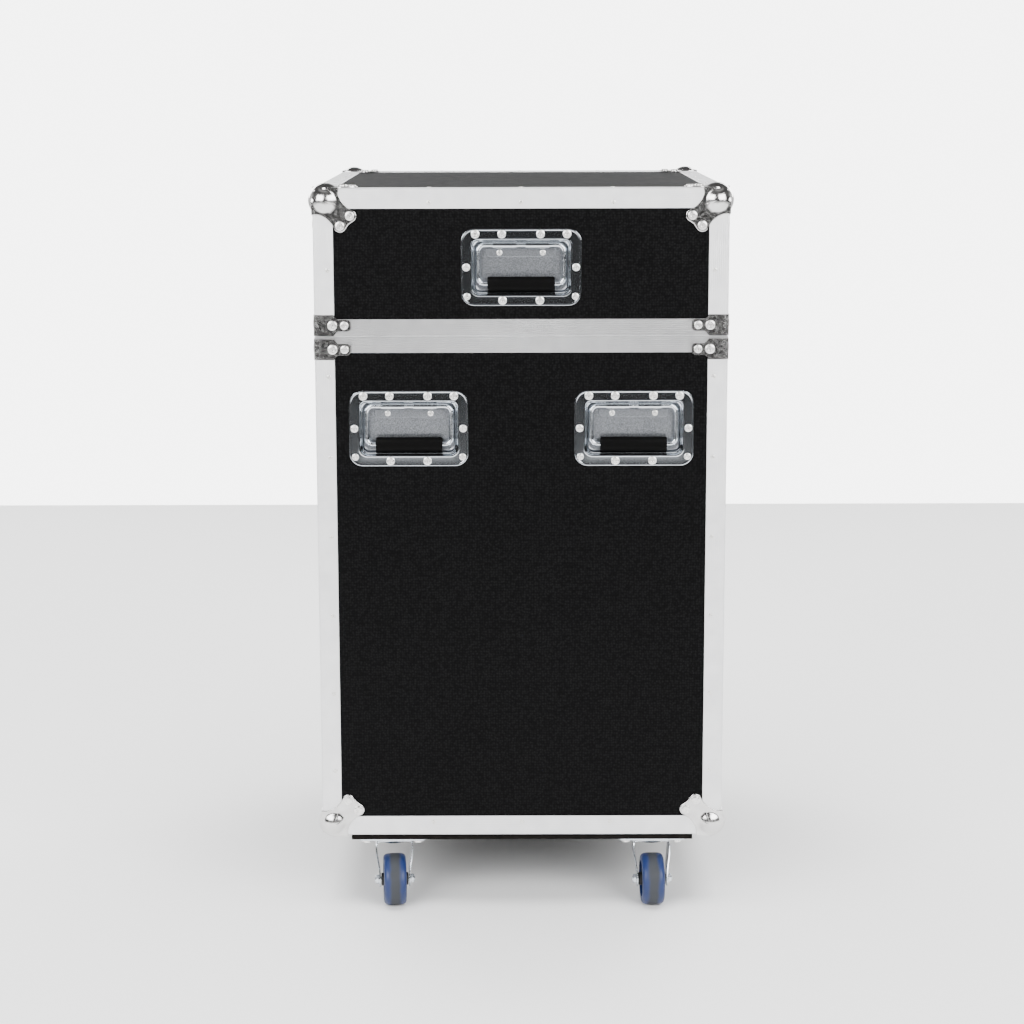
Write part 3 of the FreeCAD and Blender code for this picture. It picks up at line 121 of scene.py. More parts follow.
def soft_box(name, place, target, wide, high, power):
    data = bpy.data.lights.new(name, "AREA")
    data.shape = "RECTANGLE"
    data.size = wide
    data.size_y = high
    data.energy = power
    lamp = bpy.data.objects.new(name, data)
    lamp.location = place
    lamp.rotation_euler = (Vector(target) - Vector(place)).to_track_quat("-Z", "Y").to_euler()
    bpy.context.collection.objects.link(lamp)
    return lamp


def make_studio():
    """A pale floor, two large boxes before the case and two behind it, one overhead, and dim
    surroundings: a dark band at eye level in front and a pale backdrop behind."""
    soft_box("front_left_box", (-2.15, -3.2, 2.15), (0, -0.3, 0.9), 2.9, 2.1, 190)
    soft_box("front_right_box", (2.15, -3.2, 2.15), (0, -0.3, 0.9), 2.9, 2.1, 190)
    soft_box("back_left_box", (-2.3, 3.2, 2.2), (0, 0.3, 0.8), 2.6, 1.9, 140)
    soft_box("back_right_box", (2.3, 3.2, 2.2), (0, 0.3, 0.8), 2.6, 1.9, 140)
    overhead = soft_box("top_box", (0, 0, 3.6), (0, 0, 1), 3.4, 3.4, 270)
    overhead.visible_glossy = False
    world = bpy.data.worlds.new("studio")
    bpy.context.scene.world = world
    world.use_nodes = True
    tree = world.node_tree
    tree.nodes.clear()
    place = tree.nodes.new("ShaderNodeTexCoord")
    split = tree.nodes.new("ShaderNodeSeparateXYZ")
    tree.links.new(place.outputs["Generated"], split.inputs[0])

    def ramp(value, low, high, stops):
        span = tree.nodes.new("ShaderNodeMapRange")
        span.inputs["From Min"].default_value = low
        span.inputs["From Max"].default_value = high
        tree.links.new(value, span.inputs["Value"])
        colours = tree.nodes.new("ShaderNodeValToRGB")
        for position, grey in stops:
            stop = colours.color_ramp.elements.new((position - low) / (high - low))
            stop.color = (grey, grey, grey, 1)
        colours.color_ramp.elements.remove(colours.color_ramp.elements[0])
        tree.links.new(span.outputs[0], colours.inputs[0])
        return colours.outputs[0]

    front = ramp(split.outputs["Z"], -1, 1,
                 ((-0.99, 0.9), (-0.24, 0.9), (-0.20, 0.015), (0.12, 0.015), (0.3, 0.10),
                  (0.8, 0.06), (1.0, 0.06)))
    back = ramp(split.outputs["Z"], -1, 1,
                ((-0.99, 0.9), (0.22, 0.9), (0.5, 0.12), (0.99, 0.06), (1.0, 0.06)))
    side = ramp(split.outputs["Y"], -1, 1, ((-0.99, 0.0), (-0.15, 0.0), (0.35, 1.0), (0.99, 1.0), (1.0, 1.0)))
    around = tree.nodes.new("ShaderNodeMix")
    around.data_type = "RGBA"
    tree.links.new(side, around.inputs[0])
    tree.links.new(front, around.inputs[6])
    tree.links.new(back, around.inputs[7])
    surroundings = tree.nodes.new("ShaderNodeBackground")
    surroundings.inputs["Strength"].default_value = 1.2
    seen = tree.nodes.new("ShaderNodeBackground")
    seen.inputs["Color"].default_value = (1.0, 1.0, 1.0, 1)
    seen.inputs["Strength"].default_value = 6.0
    ray = tree.nodes.new("ShaderNodeLightPath")
    mix = tree.nodes.new("ShaderNodeMixShader")
    out = tree.nodes.new("ShaderNodeOutputWorld")
    tree.links.new(around.outputs[2], surroundings.inputs["Color"])
    tree.links.new(ray.outputs["Is Camera Ray"], mix.inputs[0])
    tree.links.new(surroundings.outputs[0], mix.inputs[1])
    tree.links.new(seen.outputs[0], mix.inputs[2])
    tree.links.new(mix.outputs[0], out.inputs[0])

    reach = 3.0
    corners = [(-reach, -reach, 0), (reach, -reach, 0), (reach, reach, 0), (-reach, reach, 0)]
    mesh = bpy.data.meshes.new("floor")
    mesh.from_pydata(corners, [], [(0, 1, 2, 3)])
    floor = bpy.data.objects.new("floor", mesh)
    bpy.context.collection.objects.link(floor)
    paint = bpy.data.materials.new("floor_paint")
    paint.use_nodes = True
    shader = paint.node_tree.nodes["Principled BSDF"]
    shader.inputs["Base Color"].default_value = (0.93, 0.93, 0.93, 1)
    shader.inputs["Roughness"].default_value = 0.7
    shader.inputs["Specular IOR Level"].default_value = 0.1
    mesh.materials.append(paint)


make_camera()
make_studio()


# ---------------------------------------------------------------- finishes

class Finish:
    """A node material built step by step on one Principled shader."""

    def __init__(self, name, colour, roughness, metallic=0.0):
        self.material = bpy.data.materials.new(name)
        self.material.use_nodes = True
        self.tree = self.material.node_tree
        self.shader = self.tree.nodes["Principled BSDF"]
        self.shader.inputs["Base Color"].default_value = (*colour, 1)
        self.shader.inputs["Roughness"].default_value = roughness
        self.shader.inputs["Metallic"].default_value = metallic
        self.height = None

    def node(self, kind, **values):
        made = self.tree.nodes.new(kind)
        for key, value in values.items():
            if key in made.inputs:
                made.inputs[key].default_value = value
            else:
                setattr(made, key, value)
        return made

    def link(self, start, end):
        self.tree.links.new(start, end)

    def coordinates(self, scale=(1, 1, 1), space="Object"):
        place = self.node("ShaderNodeTexCoord")
        mapping = self.node("ShaderNodeMapping")
        mapping.inputs["Scale"].default_value = scale
        self.link(place.outputs[space], mapping.inputs[0])
        return mapping.outputs[0]

    def noise(self, scale, stretch=(1, 1, 1), detail=3.0, space="Object"):
        texture = self.node("ShaderNodeTexNoise", Scale=scale, Detail=detail)
        self.link(self.coordinates(stretch, space), texture.inputs["Vector"])
        return texture.outputs["Fac"]

    def cells(self, scale, randomness, feature="F1", stretch=(1, 1, 1)):
        texture = self.node("ShaderNodeTexVoronoi", Scale=scale, Randomness=randomness, feature=feature)
        self.link(self.coordinates(stretch), texture.inputs["Vector"])
        return texture.outputs["Distance"]

    def spread(self, value, from_low, from_high, to_low, to_high):
        ranged = self.node("ShaderNodeMapRange")
        for key, number in (("From Min", from_low), ("From Max", from_high),
                            ("To Min", to_low), ("To Max", to_high)):
            ranged.inputs[key].default_value = number
        self.link(value, ranged.inputs["Value"])
        return ranged.outputs[0]

    def tint(self, value, low, high):
        ramp = self.node("ShaderNodeValToRGB")
        ramp.color_ramp.elements[0].color = (*low, 1)
        ramp.color_ramp.elements[1].color = (*high, 1)
        self.link(value, ramp.inputs[0])
        self.link(ramp.outputs[0], self.shader.inputs["Base Color"])
        return self

    def rough(self, value):
        self.link(value, self.shader.inputs["Roughness"])
        return self

    def bump(self, value, distance, strength=1.0):
        relief = self.node("ShaderNodeBump", Strength=strength, Distance=distance)
        self.link(value, relief.inputs["Height"])
        if self.height is not None:
            self.link(self.height, relief.inputs["Normal"])
        self.height = relief.outputs["Normal"]
        self.link(self.height, self.shader.inputs["Normal"])
        return self


def laminate_finish():
    """Black laminate pressed with small pebbles about 3.7 mm apart."""
    finish = Finish("panel_laminate", (0.004, 0.004, 0.004), 0.5)
    finish.shader.inputs["Specular IOR Level"].default_value = 0.06
    pebbles = finish.cells(255, 0.5)
    finish.tint(finish.spread(pebbles, 0.15, 0.62, 0, 1), (0.0045, 0.0046, 0.0048), (0.0004, 0.0004, 0.0005))
    finish.rough(finish.spread(finish.noise(70), 0.3, 0.7, 0.44, 0.50))
    finish.bump(finish.spread(pebbles, 0.1, 0.65, 1, 0), 0.0004, 0.6)
    return finish.material


def aluminium_finish():
    """Bright extruded aluminium: fine die lines along each length and a few scuffs."""
    finish = Finish("aluminium_edging", (0.86, 0.86, 0.87), 0.45, 0.65)
    cloud = finish.noise(38, detail=5)
    finish.tint(finish.spread(cloud, 0.3, 0.7, 0, 1), (0.80, 0.80, 0.81), (0.88, 0.88, 0.885))
    finish.rough(finish.spread(finish.noise(150), 0.25, 0.75, 0.40, 0.54))
    finish.bump(finish.noise(900, detail=2), 0.00006, 0.35)
    return finish.material


def bright_steel_finish():
    """Bright nickel plate with the faint ripple of pressed sheet."""
    finish = Finish("bright_steel", (0.66, 0.65, 0.64), 0.16, 1.0)
    finish.tint(finish.spread(finish.noise(60), 0.3, 0.7, 0, 1), (0.60, 0.59, 0.585), (0.72, 0.71, 0.70))
    finish.rough(finish.spread(finish.noise(220, detail=4), 0.3, 0.7, 0.12, 0.24))
    finish.bump(finish.noise(120, detail=2), 0.0001, 0.25)
    return finish.material


def zinc_finish():
    """Zinc-plated pressed steel: cool, with a fine crystalline speckle."""
    finish = Finish("zinc_steel", (0.62, 0.66, 0.70), 0.24, 1.0)
    speckle = finish.noise(650, detail=3)
    finish.tint(finish.spread(speckle, 0.3, 0.7, 0, 1), (0.56, 0.59, 0.63), (0.70, 0.74, 0.78))
    finish.rough(finish.spread(finish.noise(260, detail=4), 0.3, 0.7, 0.14, 0.24))
    finish.bump(speckle, 0.00002, 0.25)
    return finish.material


def dish_finish():
    """The same plate on the handle dishes, polished on the flange and walls and rougher on the floors and leaves,
    which lie about 20 mm inside the front and back faces. The floors and leaves also carry painted shade: their
    base colour is made much darker to stand in for the shade in the recess."""
    finish = Finish("dish_zinc", (0.62, 0.66, 0.70), 0.13, 1.0)
    place = finish.node("ShaderNodeSeparateXYZ")
    finish.link(finish.coordinates(), place.inputs[0])
    inwards = finish.node("ShaderNodeMath", operation="ABSOLUTE")
    finish.link(place.outputs["Y"], inwards.inputs[0])
    floor_y = (HALF_Y - DISH_DEPTH) * MM
    floor = finish.spread(inwards.outputs[0], floor_y + 0.0018, floor_y + 0.0026, 1, 0)
    speckle = finish.noise(900, detail=3)
    speckle_and_painted_shade = finish.node("ShaderNodeMath", operation="ADD")
    finish.link(finish.spread(speckle, 0.35, 0.65, 0, 0.4), speckle_and_painted_shade.inputs[0])
    # painted shade: the flange and walls are lifted by 0.6 here, so the dish floors and hinge leaves come out much
    # darker, standing in for the shade of the recess
    finish.link(finish.spread(floor, 0, 1, 0.6, 0), speckle_and_painted_shade.inputs[1])
    finish.tint(speckle_and_painted_shade.outputs[0], (0.16, 0.165, 0.18), (0.68, 0.72, 0.76))
    finish.rough(finish.spread(floor, 0, 1, 0.13, 0.34))
    grain = finish.node("ShaderNodeMath", operation="MULTIPLY")
    finish.link(speckle, grain.inputs[0])
    finish.link(floor, grain.inputs[1])
    finish.bump(grain.outputs[0], 0.00006, 0.5)
    return finish.material


def rivet_finish():
    finish = Finish("rivet_steel", (0.85, 0.84, 0.82), 0.3, 0.9)
    finish.tint(finish.spread(finish.noise(300), 0.3, 0.7, 0, 1), (0.76, 0.75, 0.73), (0.90, 0.89, 0.87))
    finish.rough(finish.spread(finish.noise(500), 0.3, 0.7, 0.22, 0.38))
    return finish.material


def grip_finish():
    """Black moulded sleeve with a fine matt grain."""
    finish = Finish("grip_rubber", (0.0015, 0.0015, 0.0015), 0.5)
    finish.shader.inputs["Specular IOR Level"].default_value = 0.05
    finish.rough(finish.spread(finish.noise(300), 0.3, 0.7, 0.36, 0.52))
    finish.bump(finish.noise(1500, detail=2), 0.00008, 0.4)
    return finish.material


def tread_finish():
    """Blue elastic rubber with a worn grey band; the attribute across is 0 at the middle of the
    tread and 1 at its sides."""
    finish = Finish("elastic_tread", (0.02, 0.09, 0.30), 0.6)
    across = finish.node("ShaderNodeAttribute", attribute_name="across")
    ragged = finish.node("ShaderNodeMath", operation="MULTIPLY_ADD")
    finish.link(finish.noise(55, detail=5), ragged.inputs[0])
    ragged.inputs[1].default_value = 0.30
    finish.link(across.outputs["Fac"], ragged.inputs[2])
    band = finish.spread(ragged.outputs[0], 0.46, 0.72, 1, 0)
    ramp = finish.node("ShaderNodeValToRGB")
    ramp.color_ramp.elements[0].color = (0.003, 0.016, 0.085, 1)
    ramp.color_ramp.elements[1].color = (0.030, 0.033, 0.038, 1)
    finish.link(band, ramp.inputs[0])
    finish.link(ramp.outputs[0], finish.shader.inputs["Base Color"])
    finish.rough(finish.spread(band, 0, 1, 0.42, 0.8))
    finish.bump(finish.noise(700, detail=4), 0.0002, 0.4)
    return finish.material


def hub_finish():
    finish = Finish("wheel_hub", (0.008, 0.008, 0.009), 0.42)
    finish.rough(finish.spread(finish.noise(200), 0.3, 0.7, 0.34, 0.52))
    finish.bump(finish.noise(900), 0.00006, 0.3)
    return finish.material


def plywood_finish(name, dark, pale):
    """Black-stained birch plywood with its grain along Y."""
    finish = Finish(name, pale, 0.62)
    finish.shader.inputs["Specular IOR Level"].default_value = 0.06
    grain = finish.noise(60, stretch=(1, 0.06, 1), detail=6)
    finish.tint(finish.spread(grain, 0.3, 0.7, 0, 1), dark, pale)
    finish.bump(grain, 0.0002, 0.5)
    return finish.material


def powder_coat_finish():
    finish = Finish("black_steel", (0.008, 0.008, 0.0085), 0.48)
    finish.bump(finish.noise(1100, detail=2), 0.00012, 0.4)
    return finish.material


FINISHES = {
    "panel_laminate": laminate_finish(),
    "aluminium_edging": aluminium_finish(),
    "bright_steel": bright_steel_finish(),
    "zinc_steel": zinc_finish(),
    "rivet_steel": rivet_finish(),
    "grip_rubber": grip_finish(),
    "elastic_tread": tread_finish(),
    "wheel_hub": hub_finish(),
    "plywood": plywood_finish("plywood", (0.0030, 0.0026, 0.0022), (0.0075, 0.0062, 0.0052)),
    "black_steel": powder_coat_finish(),
}
DISH_FINISH = dish_finish()


# ---------------------------------------------------------------- making pieces

def make_piece(name, points, faces, body, slot, nodes, smooth=40.0):
    """A mesh object in place: points in millimetres, faces as tuples of indices."""
    mesh = bpy.data.meshes.new(name)
    mesh.from_pydata((np.asarray(points, float) * MM).tolist(), [], faces)
    work = bmesh.new()
    work.from_mesh(mesh)
    bmesh.ops.remove_doubles(work, verts=work.verts, dist=0.00001)
    bmesh.ops.recalc_face_normals(work, faces=work.faces)
    work.to_mesh(mesh)
    work.free()
    mesh.materials.append(FINISHES[slot])
    piece = bpy.data.objects.new(name, mesh)
    bpy.context.collection.objects.link(piece)
    mesh.shade_smooth()
    mesh.set_sharp_from_angle(angle=math.radians(smooth))
    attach(piece, body)
    if nodes:
        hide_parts(*nodes)
    return piece


def grid_faces(rows, columns, close_rows=False, close_columns=False, start=0):
    """Quads over a grid of points numbered row by row."""
    r = np.arange(rows if close_rows else rows - 1)
    c = np.arange(columns if close_columns else columns - 1)
    r, c = (part.ravel() for part in np.meshgrid(r, c, indexing="ij"))
    r2 = (r + 1) % rows
    c2 = (c + 1) % columns
    quads = np.stack([r * columns + c, r2 * columns + c, r2 * columns + c2, r * columns + c2], axis=1) + start
    return [tuple(quad) for quad in quads.tolist()]


class Shape:
    """Points and faces gathered from several surfaces, to become one piece."""

    def __init__(self):
        self.points = np.zeros((0, 3))
        self.faces = []

    def add(self, points, faces):
        start = len(self.points)
        self.points = np.vstack([self.points, np.asarray(points, float).reshape(-1, 3)])
        self.faces += [tuple(index + start for index in face) for face in faces]

    def surface(self, grid, close_rows=False, close_columns=False):
        """A grid of shape (rows, columns, 3)."""
        rows, columns = grid.shape[:2]
        self.add(grid, grid_faces(rows, columns, close_rows, close_columns))

    def run(self, rings, caps=True):
        """Closed rings one after another, as a tube with flat ends."""
        count, size = rings.shape[:2]
        faces = grid_faces(count, size, close_columns=True)
        if caps:
            faces += [tuple(range(size)), tuple(range((count - 1) * size, count * size))]
        self.add(rings, faces)

    def mirrored(self, signs):
        other = Shape()
        other.add(self.points * np.array(signs, float), self.faces)
        return other

    def at_four_corners(self):
        """The shape drawn at +X +Y with its mirror images at the other three corners."""
        four = Shape()
        for signs in ((1, 1, 1), (-1, 1, 1), (1, -1, 1), (-1, -1, 1)):
            four.join(self.mirrored(signs))
        return four

    def join(self, other):
        self.add(other.points, other.faces)

    def piece(self, name, body, slot, nodes=(), smooth=40.0):
        return make_piece(name, self.points, self.faces, body, slot, nodes, smooth)


def turned_about(profile, steps):
    """A profile of (radius, height) points turned about +Z: a grid of angle by profile point."""
    angle = np.linspace(0, 2 * np.pi, steps, endpoint=False)[:, None]
    radius = profile[None, :, 0]
    height = np.broadcast_to(profile[None, :, 1], (steps, len(profile)))
    return np.stack([radius * np.cos(angle), radius * np.sin(angle), height], axis=-1)


def axes_for(out):
    """Two directions that make a right-handed frame with out."""
    out = np.asarray(out, float)
    side = np.array([0.0, 0.0, 1.0]) if abs(out[2]) < 0.9 else np.array([1.0, 0.0, 0.0])
    first = np.cross(side, out)
    first /= np.linalg.norm(first)
    return first, np.cross(out, first), out


def rounded_box_outline(half_wide, half_high, radii, steps=8):
    """A closed outline of arcs, one per corner, joined by straight lines: radii start at
    the corner +u +v and go anticlockwise."""
    corners = ((1, 1, 0.0), (-1, 1, 0.5), (-1, -1, 1.0), (1, -1, 1.5))
    parts = []
    for (su, sv, start), radius in zip(corners, radii):
        turn = np.pi * (start + np.linspace(0, 0.5, steps))
        centre = np.array([su * (half_wide - radius), sv * (half_high - radius)])
        parts.append(centre + radius * np.stack([np.cos(turn), np.sin(turn)], axis=-1))
    return np.vstack(parts)


def solids_of(node):
    """The separate solids of a CAD node, each as its lowest and highest corner in millimetres."""
    work = bmesh.new()
    work.from_mesh(frame["nodes"][node].data)
    bmesh.ops.remove_doubles(work, verts=work.verts, dist=0.00001)
    work.verts.ensure_lookup_table()
    seen = set()
    boxes = []
    for vert in work.verts:
        if vert.index in seen:
            continue
        stack = [vert]
        seen.add(vert.index)
        points = []
        while stack:
            here = stack.pop()
            points.append(here.co[:])
            for edge in here.link_edges:
                other = edge.other_vert(here)
                if other.index not in seen:
                    seen.add(other.index)
                    stack.append(other)
        points = np.array(points) / MM
        boxes.append((points.min(axis=0), points.max(axis=0)))
    work.free()
    return boxes


# ---------------------------------------------------------------- edging

def ribbed_leg(length, ribs, depth):
    """Distances and heights across one face of an edging: shallow rounded ribs, flat at both ends."""
    across = np.linspace(2.2, length - 1.6, ribs * 6 + 1)
    swing = 0.5 - 0.5 * np.cos((across - across[0]) / (across[-1] - across[0]) * 2 * np.pi * ribs)
    return np.stack([across, -depth * swing ** 3], axis=-1)


def angle_section():
    """The L section as (along first leg, along second leg) from the outer corner: ribbed
    outer faces, a rounded outer corner and a plain inner face."""
    leg = ribbed_leg(EDGE_LEG, 9, RIB_DEPTH)
    turn = np.linspace(0, np.pi / 2, 7)
    corner = EDGE_ROUND - EDGE_ROUND * np.stack([np.sin(turn), np.cos(turn)], axis=-1)
    first = np.stack([leg[::-1, 0], -leg[::-1, 1]], axis=-1)
    tip = 0.5
    start = np.array([[EDGE_LEG, EDGE_WALL], [EDGE_LEG, tip], [EDGE_LEG - tip, 0.0]])
    second = first[::-1, ::-1]
    inside = np.array([[0.0, EDGE_LEG - tip], [tip, EDGE_LEG], [EDGE_WALL, EDGE_LEG], [EDGE_WALL, EDGE_WALL]])
    return np.vstack([start, first, corner[:, ::-1], second, inside])


def straight_length(shape, section, corner, first, second, along, start, end):
    """The section swept straight between two distances along an axis."""
    outline = corner + section[:, :1] * first + section[:, 1:] * second
    rings = np.stack([outline + along * start, outline + along * end])
    shape.run(rings)


def four_lengths(node):
    """The boxes of the four flat edging lengths of a shell, which stop where the ball corners start."""
    low, high = node_box(node)
    ends_x = HALF_X - EDGE_LEG
    ends_y = HALF_Y - EDGE_LEG
    boxes = []
    for side in (-1, 1):
        y = sorted((side * HALF_Y, side * ends_y))
        x = sorted((side * HALF_X, side * ends_x))
        boxes.append((np.array([-ends_x, y[0], low[2]]), np.array([ends_x, y[1], high[2]])))
        boxes.append((np.array([x[0], -ends_y, low[2]]), np.array([x[1], ends_y, high[2]])))
    return boxes


def edging(name, node, body, boxes):
    """One length of L section for each box."""
    section = angle_section()
    shape = Shape()
    for low, high in boxes:
        middle = (low + high) / 2
        run = int(np.argmax(high - low))
        others = [axis for axis in range(3) if axis != run]
        corner = np.zeros(3)
        legs = []
        for axis in others:
            side = np.sign(middle[axis]) if axis != 2 else (1.0 if middle[2] > SPLIT_Z else -1.0)
            corner[axis] = high[axis] if side > 0 else low[axis]
            leg = np.zeros(3)
            leg[axis] = -side
            legs.append(leg)
        along = np.zeros(3)
        along[run] = 1.0
        straight_length(shape, section, corner, legs[0], legs[1], along, low[run], high[run])
    shape.piece(name, body, "aluminium_edging", [node], 60.0)


def rim_section(web, lip, mouth, depth):
    """The rim channel as (inward, along its legs) from the split edge: a ribbed outer leg, a
    groove of the mouth's width and the given depth at the split (a tongue where the depth is
    negative), and a plain inner leg; web is how far the legs start from the split."""
    leg = ribbed_leg(RIM_TALL, 7, RIB_DEPTH)
    outer = np.stack([-leg[:, 1], leg[:, 0]], axis=-1)
    wall = EDGE_WALL
    half = (RIM_WIDE - mouth) / 2
    foot = 0.4
    start = np.array([[wall, RIM_TALL], [foot, RIM_TALL], [0.0, RIM_TALL - foot]])
    split = np.array([[0.0, foot], [foot, 0.0], [half, 0.0], [half, depth], [RIM_WIDE - half, depth],
                      [RIM_WIDE - half, 0.0], [RIM_WIDE - lip, 0.0], [RIM_WIDE, lip]])
    back = np.array([[RIM_WIDE, RIM_TALL], [RIM_WIDE - wall, RIM_TALL], [RIM_WIDE - wall, web], [wall, web]])
    return np.vstack([start, outer[::-1], split, back])


def rim_lengths(node):
    """Where the rim runs, as (axis it follows, side, start, end): unbroken across the front and
    back, and between the latches on the two sides."""
    cuts = sorted({round(float(abs(value)), 2)
                   for low, high in solids_of(node) for value in (low[1], high[1])})
    near, far = cuts[0], cuts[1]
    for side in (-1, 1):
        yield 0, side, -HALF_X, HALF_X
        yield 1, side, -HALF_Y, -far
        yield 1, side, -near, near
        yield 1, side, far, HALF_Y


def rim(name, node, body, level, way, section):
    """The rim lengths swept straight; ends at the case's corners are mitred."""
    shape = Shape()
    for run, side, start, end in rim_lengths(node):
        limit = (HALF_X, HALF_Y)[run]
        rings = []
        for stop, sign in ((start, -1), (end, 1)):
            mitred = abs(abs(stop) - limit) < 0.1
            ring = np.zeros((len(section), 3))
            ring[:, 1 - run] = side * ((HALF_X, HALF_Y)[1 - run] - section[:, 0])
            ring[:, run] = stop - sign * section[:, 0] * mitred
            ring[:, 2] = level + way * section[:, 1]
            rings.append(ring)
        shape.run(np.stack(rings))
    shape.piece(name, body, "aluminium_edging", [node], 60.0)


edging("base_post_edging", "base_corner_edges", "base", solids_of("base_corner_edges"))
edging("base_foot_edging", "base_bottom_edges", "base", four_lengths("base_bottom_edges"))
edging("lid_post_edging", "lid_corner_edges", "lid", solids_of("lid_corner_edges"))
edging("lid_top_edging", "lid_top_edges", "lid", four_lengths("lid_top_edges"))
rim("base_rim_edging", "base_rim_edges", "base", SPLIT_Z, -1, rim_section(7.0, 0.4, 4.0, 5.0))
rim("lid_rim_edging", "lid_rim_edges", "lid", LID_Z, 1, rim_section(5.0, 0.4, 3.0, -TONGUE))


# ---------------------------------------------------------------- ball corners

def ear_outline(steps=14):
    """The plate's free edge from one case edge to the other: shoulder, concave flare, two lobes,
    and the same again mirrored in the diagonal."""
    slant = EAR_LOBE * math.sqrt(0.5)
    hip = np.array([EAR_FAR + slant, EAR_NEAR - slant])
    shoulder = np.array([PLATE_REACH, PLATE_SHOULDER])
    share = np.linspace(0, 1, steps)[:, None]
    bend = shoulder + np.array([0.22, 0.70]) * (hip - shoulder)
    flare = (1 - share) ** 2 * shoulder + 2 * share * (1 - share) * bend + share ** 2 * hip
    turn = np.linspace(-0.25 * np.pi, 0.34 * np.pi, steps)[:, None]
    lobe = np.array([EAR_FAR, EAR_NEAR]) + EAR_LOBE * np.hstack([np.cos(turn), np.sin(turn)])
    middle = (EAR_FAR + EAR_NEAR) / 2 + slant * 0.80
    half = np.vstack([[[PLATE_REACH, -PLATE]], [[PLATE_REACH, 2.0]], flare, lobe[1:], [[middle, middle]]])
    return np.vstack([half, half[::-1][1:, ::-1]])


def ball_patch():
    """One face of a ball corner, in its own (a, b, out) frame from the case corner. Rays from
    the ball's centre meet the larger of the ball and the plates, except towards the case
    corner, where the ball alone is met; a smooth maximum gives the fillet between them."""
    edge = ear_outline()
    steps = 16
    side = np.linspace(PLATE_REACH, -PLATE, steps + 1)[1:]
    down = np.stack([np.full(steps, -PLATE), side], axis=-1)
    up = np.stack([side[::-1], np.full(steps, -PLATE)], axis=-1)[1:]
    rim_line = np.vstack([edge, down, up])
    free = np.zeros(len(rim_line))
    free[1:len(edge) - 1] = 1.0
    share = np.array([0.0, 0.12, 0.24, 0.34, 0.42, 0.48, 0.53, 0.58,
                      0.63, 0.70, 0.78, 0.86, 0.93, 0.975, 0.99, 1.0])
    centre = np.array([BALL_INSET, BALL_INSET])
    plane = centre + share[None, :, None] * (rim_line[:, None, :] - centre)
    ray = np.concatenate([plane - BALL_INSET, np.full(plane.shape[:2] + (1,), BALL_INSET + PLATE)], axis=-1)
    length = np.linalg.norm(ray, axis=-1)
    ray = ray / length[..., None]
    gap = length - BALL_RADIUS
    joined = BALL_RADIUS + 0.5 * (gap + np.sqrt(gap ** 2 + BALL_FILLET ** 2))
    towards = np.minimum(np.minimum(-ray[..., 0], -ray[..., 1]), ray[..., 2])
    blend = np.clip((towards + 0.02) / 0.22, 0, 1)
    blend = blend * blend * (3 - 2 * blend)
    reach = joined * (1 - blend) + BALL_RADIUS * blend
    far = np.clip((length - 33.0) / 8.0, 0, 1)
    reach = reach * (1 - far) + length * far
    points = centre[0] * np.array([1, 1, 0]) + np.array([0, 0, -BALL_INSET]) + reach[..., None] * ray
    fall = np.clip((share - 0.975) / 0.025, 0, 1)[None, :] * free[:, None]
    points[..., 2] -= PLATE_EDGE_FALL * fall ** 2
    skirt = points[:, -1:, :].copy()
    skirt[:, 0, 2] -= (PLATE - PLATE_EDGE_FALL) * free
    return np.concatenate([points, skirt], axis=1)


def ball_corner_shape(level, way):
    """The three faces of the corner at +X +Y."""
    patch = ball_patch()
    a, b, out = patch[..., 0], patch[..., 1], patch[..., 2]
    shape = Shape()
    front = np.stack([HALF_X - a, HALF_Y + out, level + way * b], axis=-1)
    side = np.stack([HALF_X + out, HALF_Y - a, level + way * b], axis=-1)
    flat = np.stack([HALF_X - a, HALF_Y - b, level - way * out], axis=-1)
    for grid in (front, side, flat):
        shape.surface(grid, close_rows=True)
    return shape


def ball_corners(name, node, body, level, way):
    ball_corner_shape(level, way).at_four_corners().piece(name, body, "bright_steel", [node], 50.0)


ball_corners("base_corner_balls", "base_ball_corners", "base", FOOT_Z, 1)
ball_corners("lid_corner_balls", "lid_ball_corners", "lid", TOP_Z, -1)


# ---------------------------------------------------------------- rim brackets

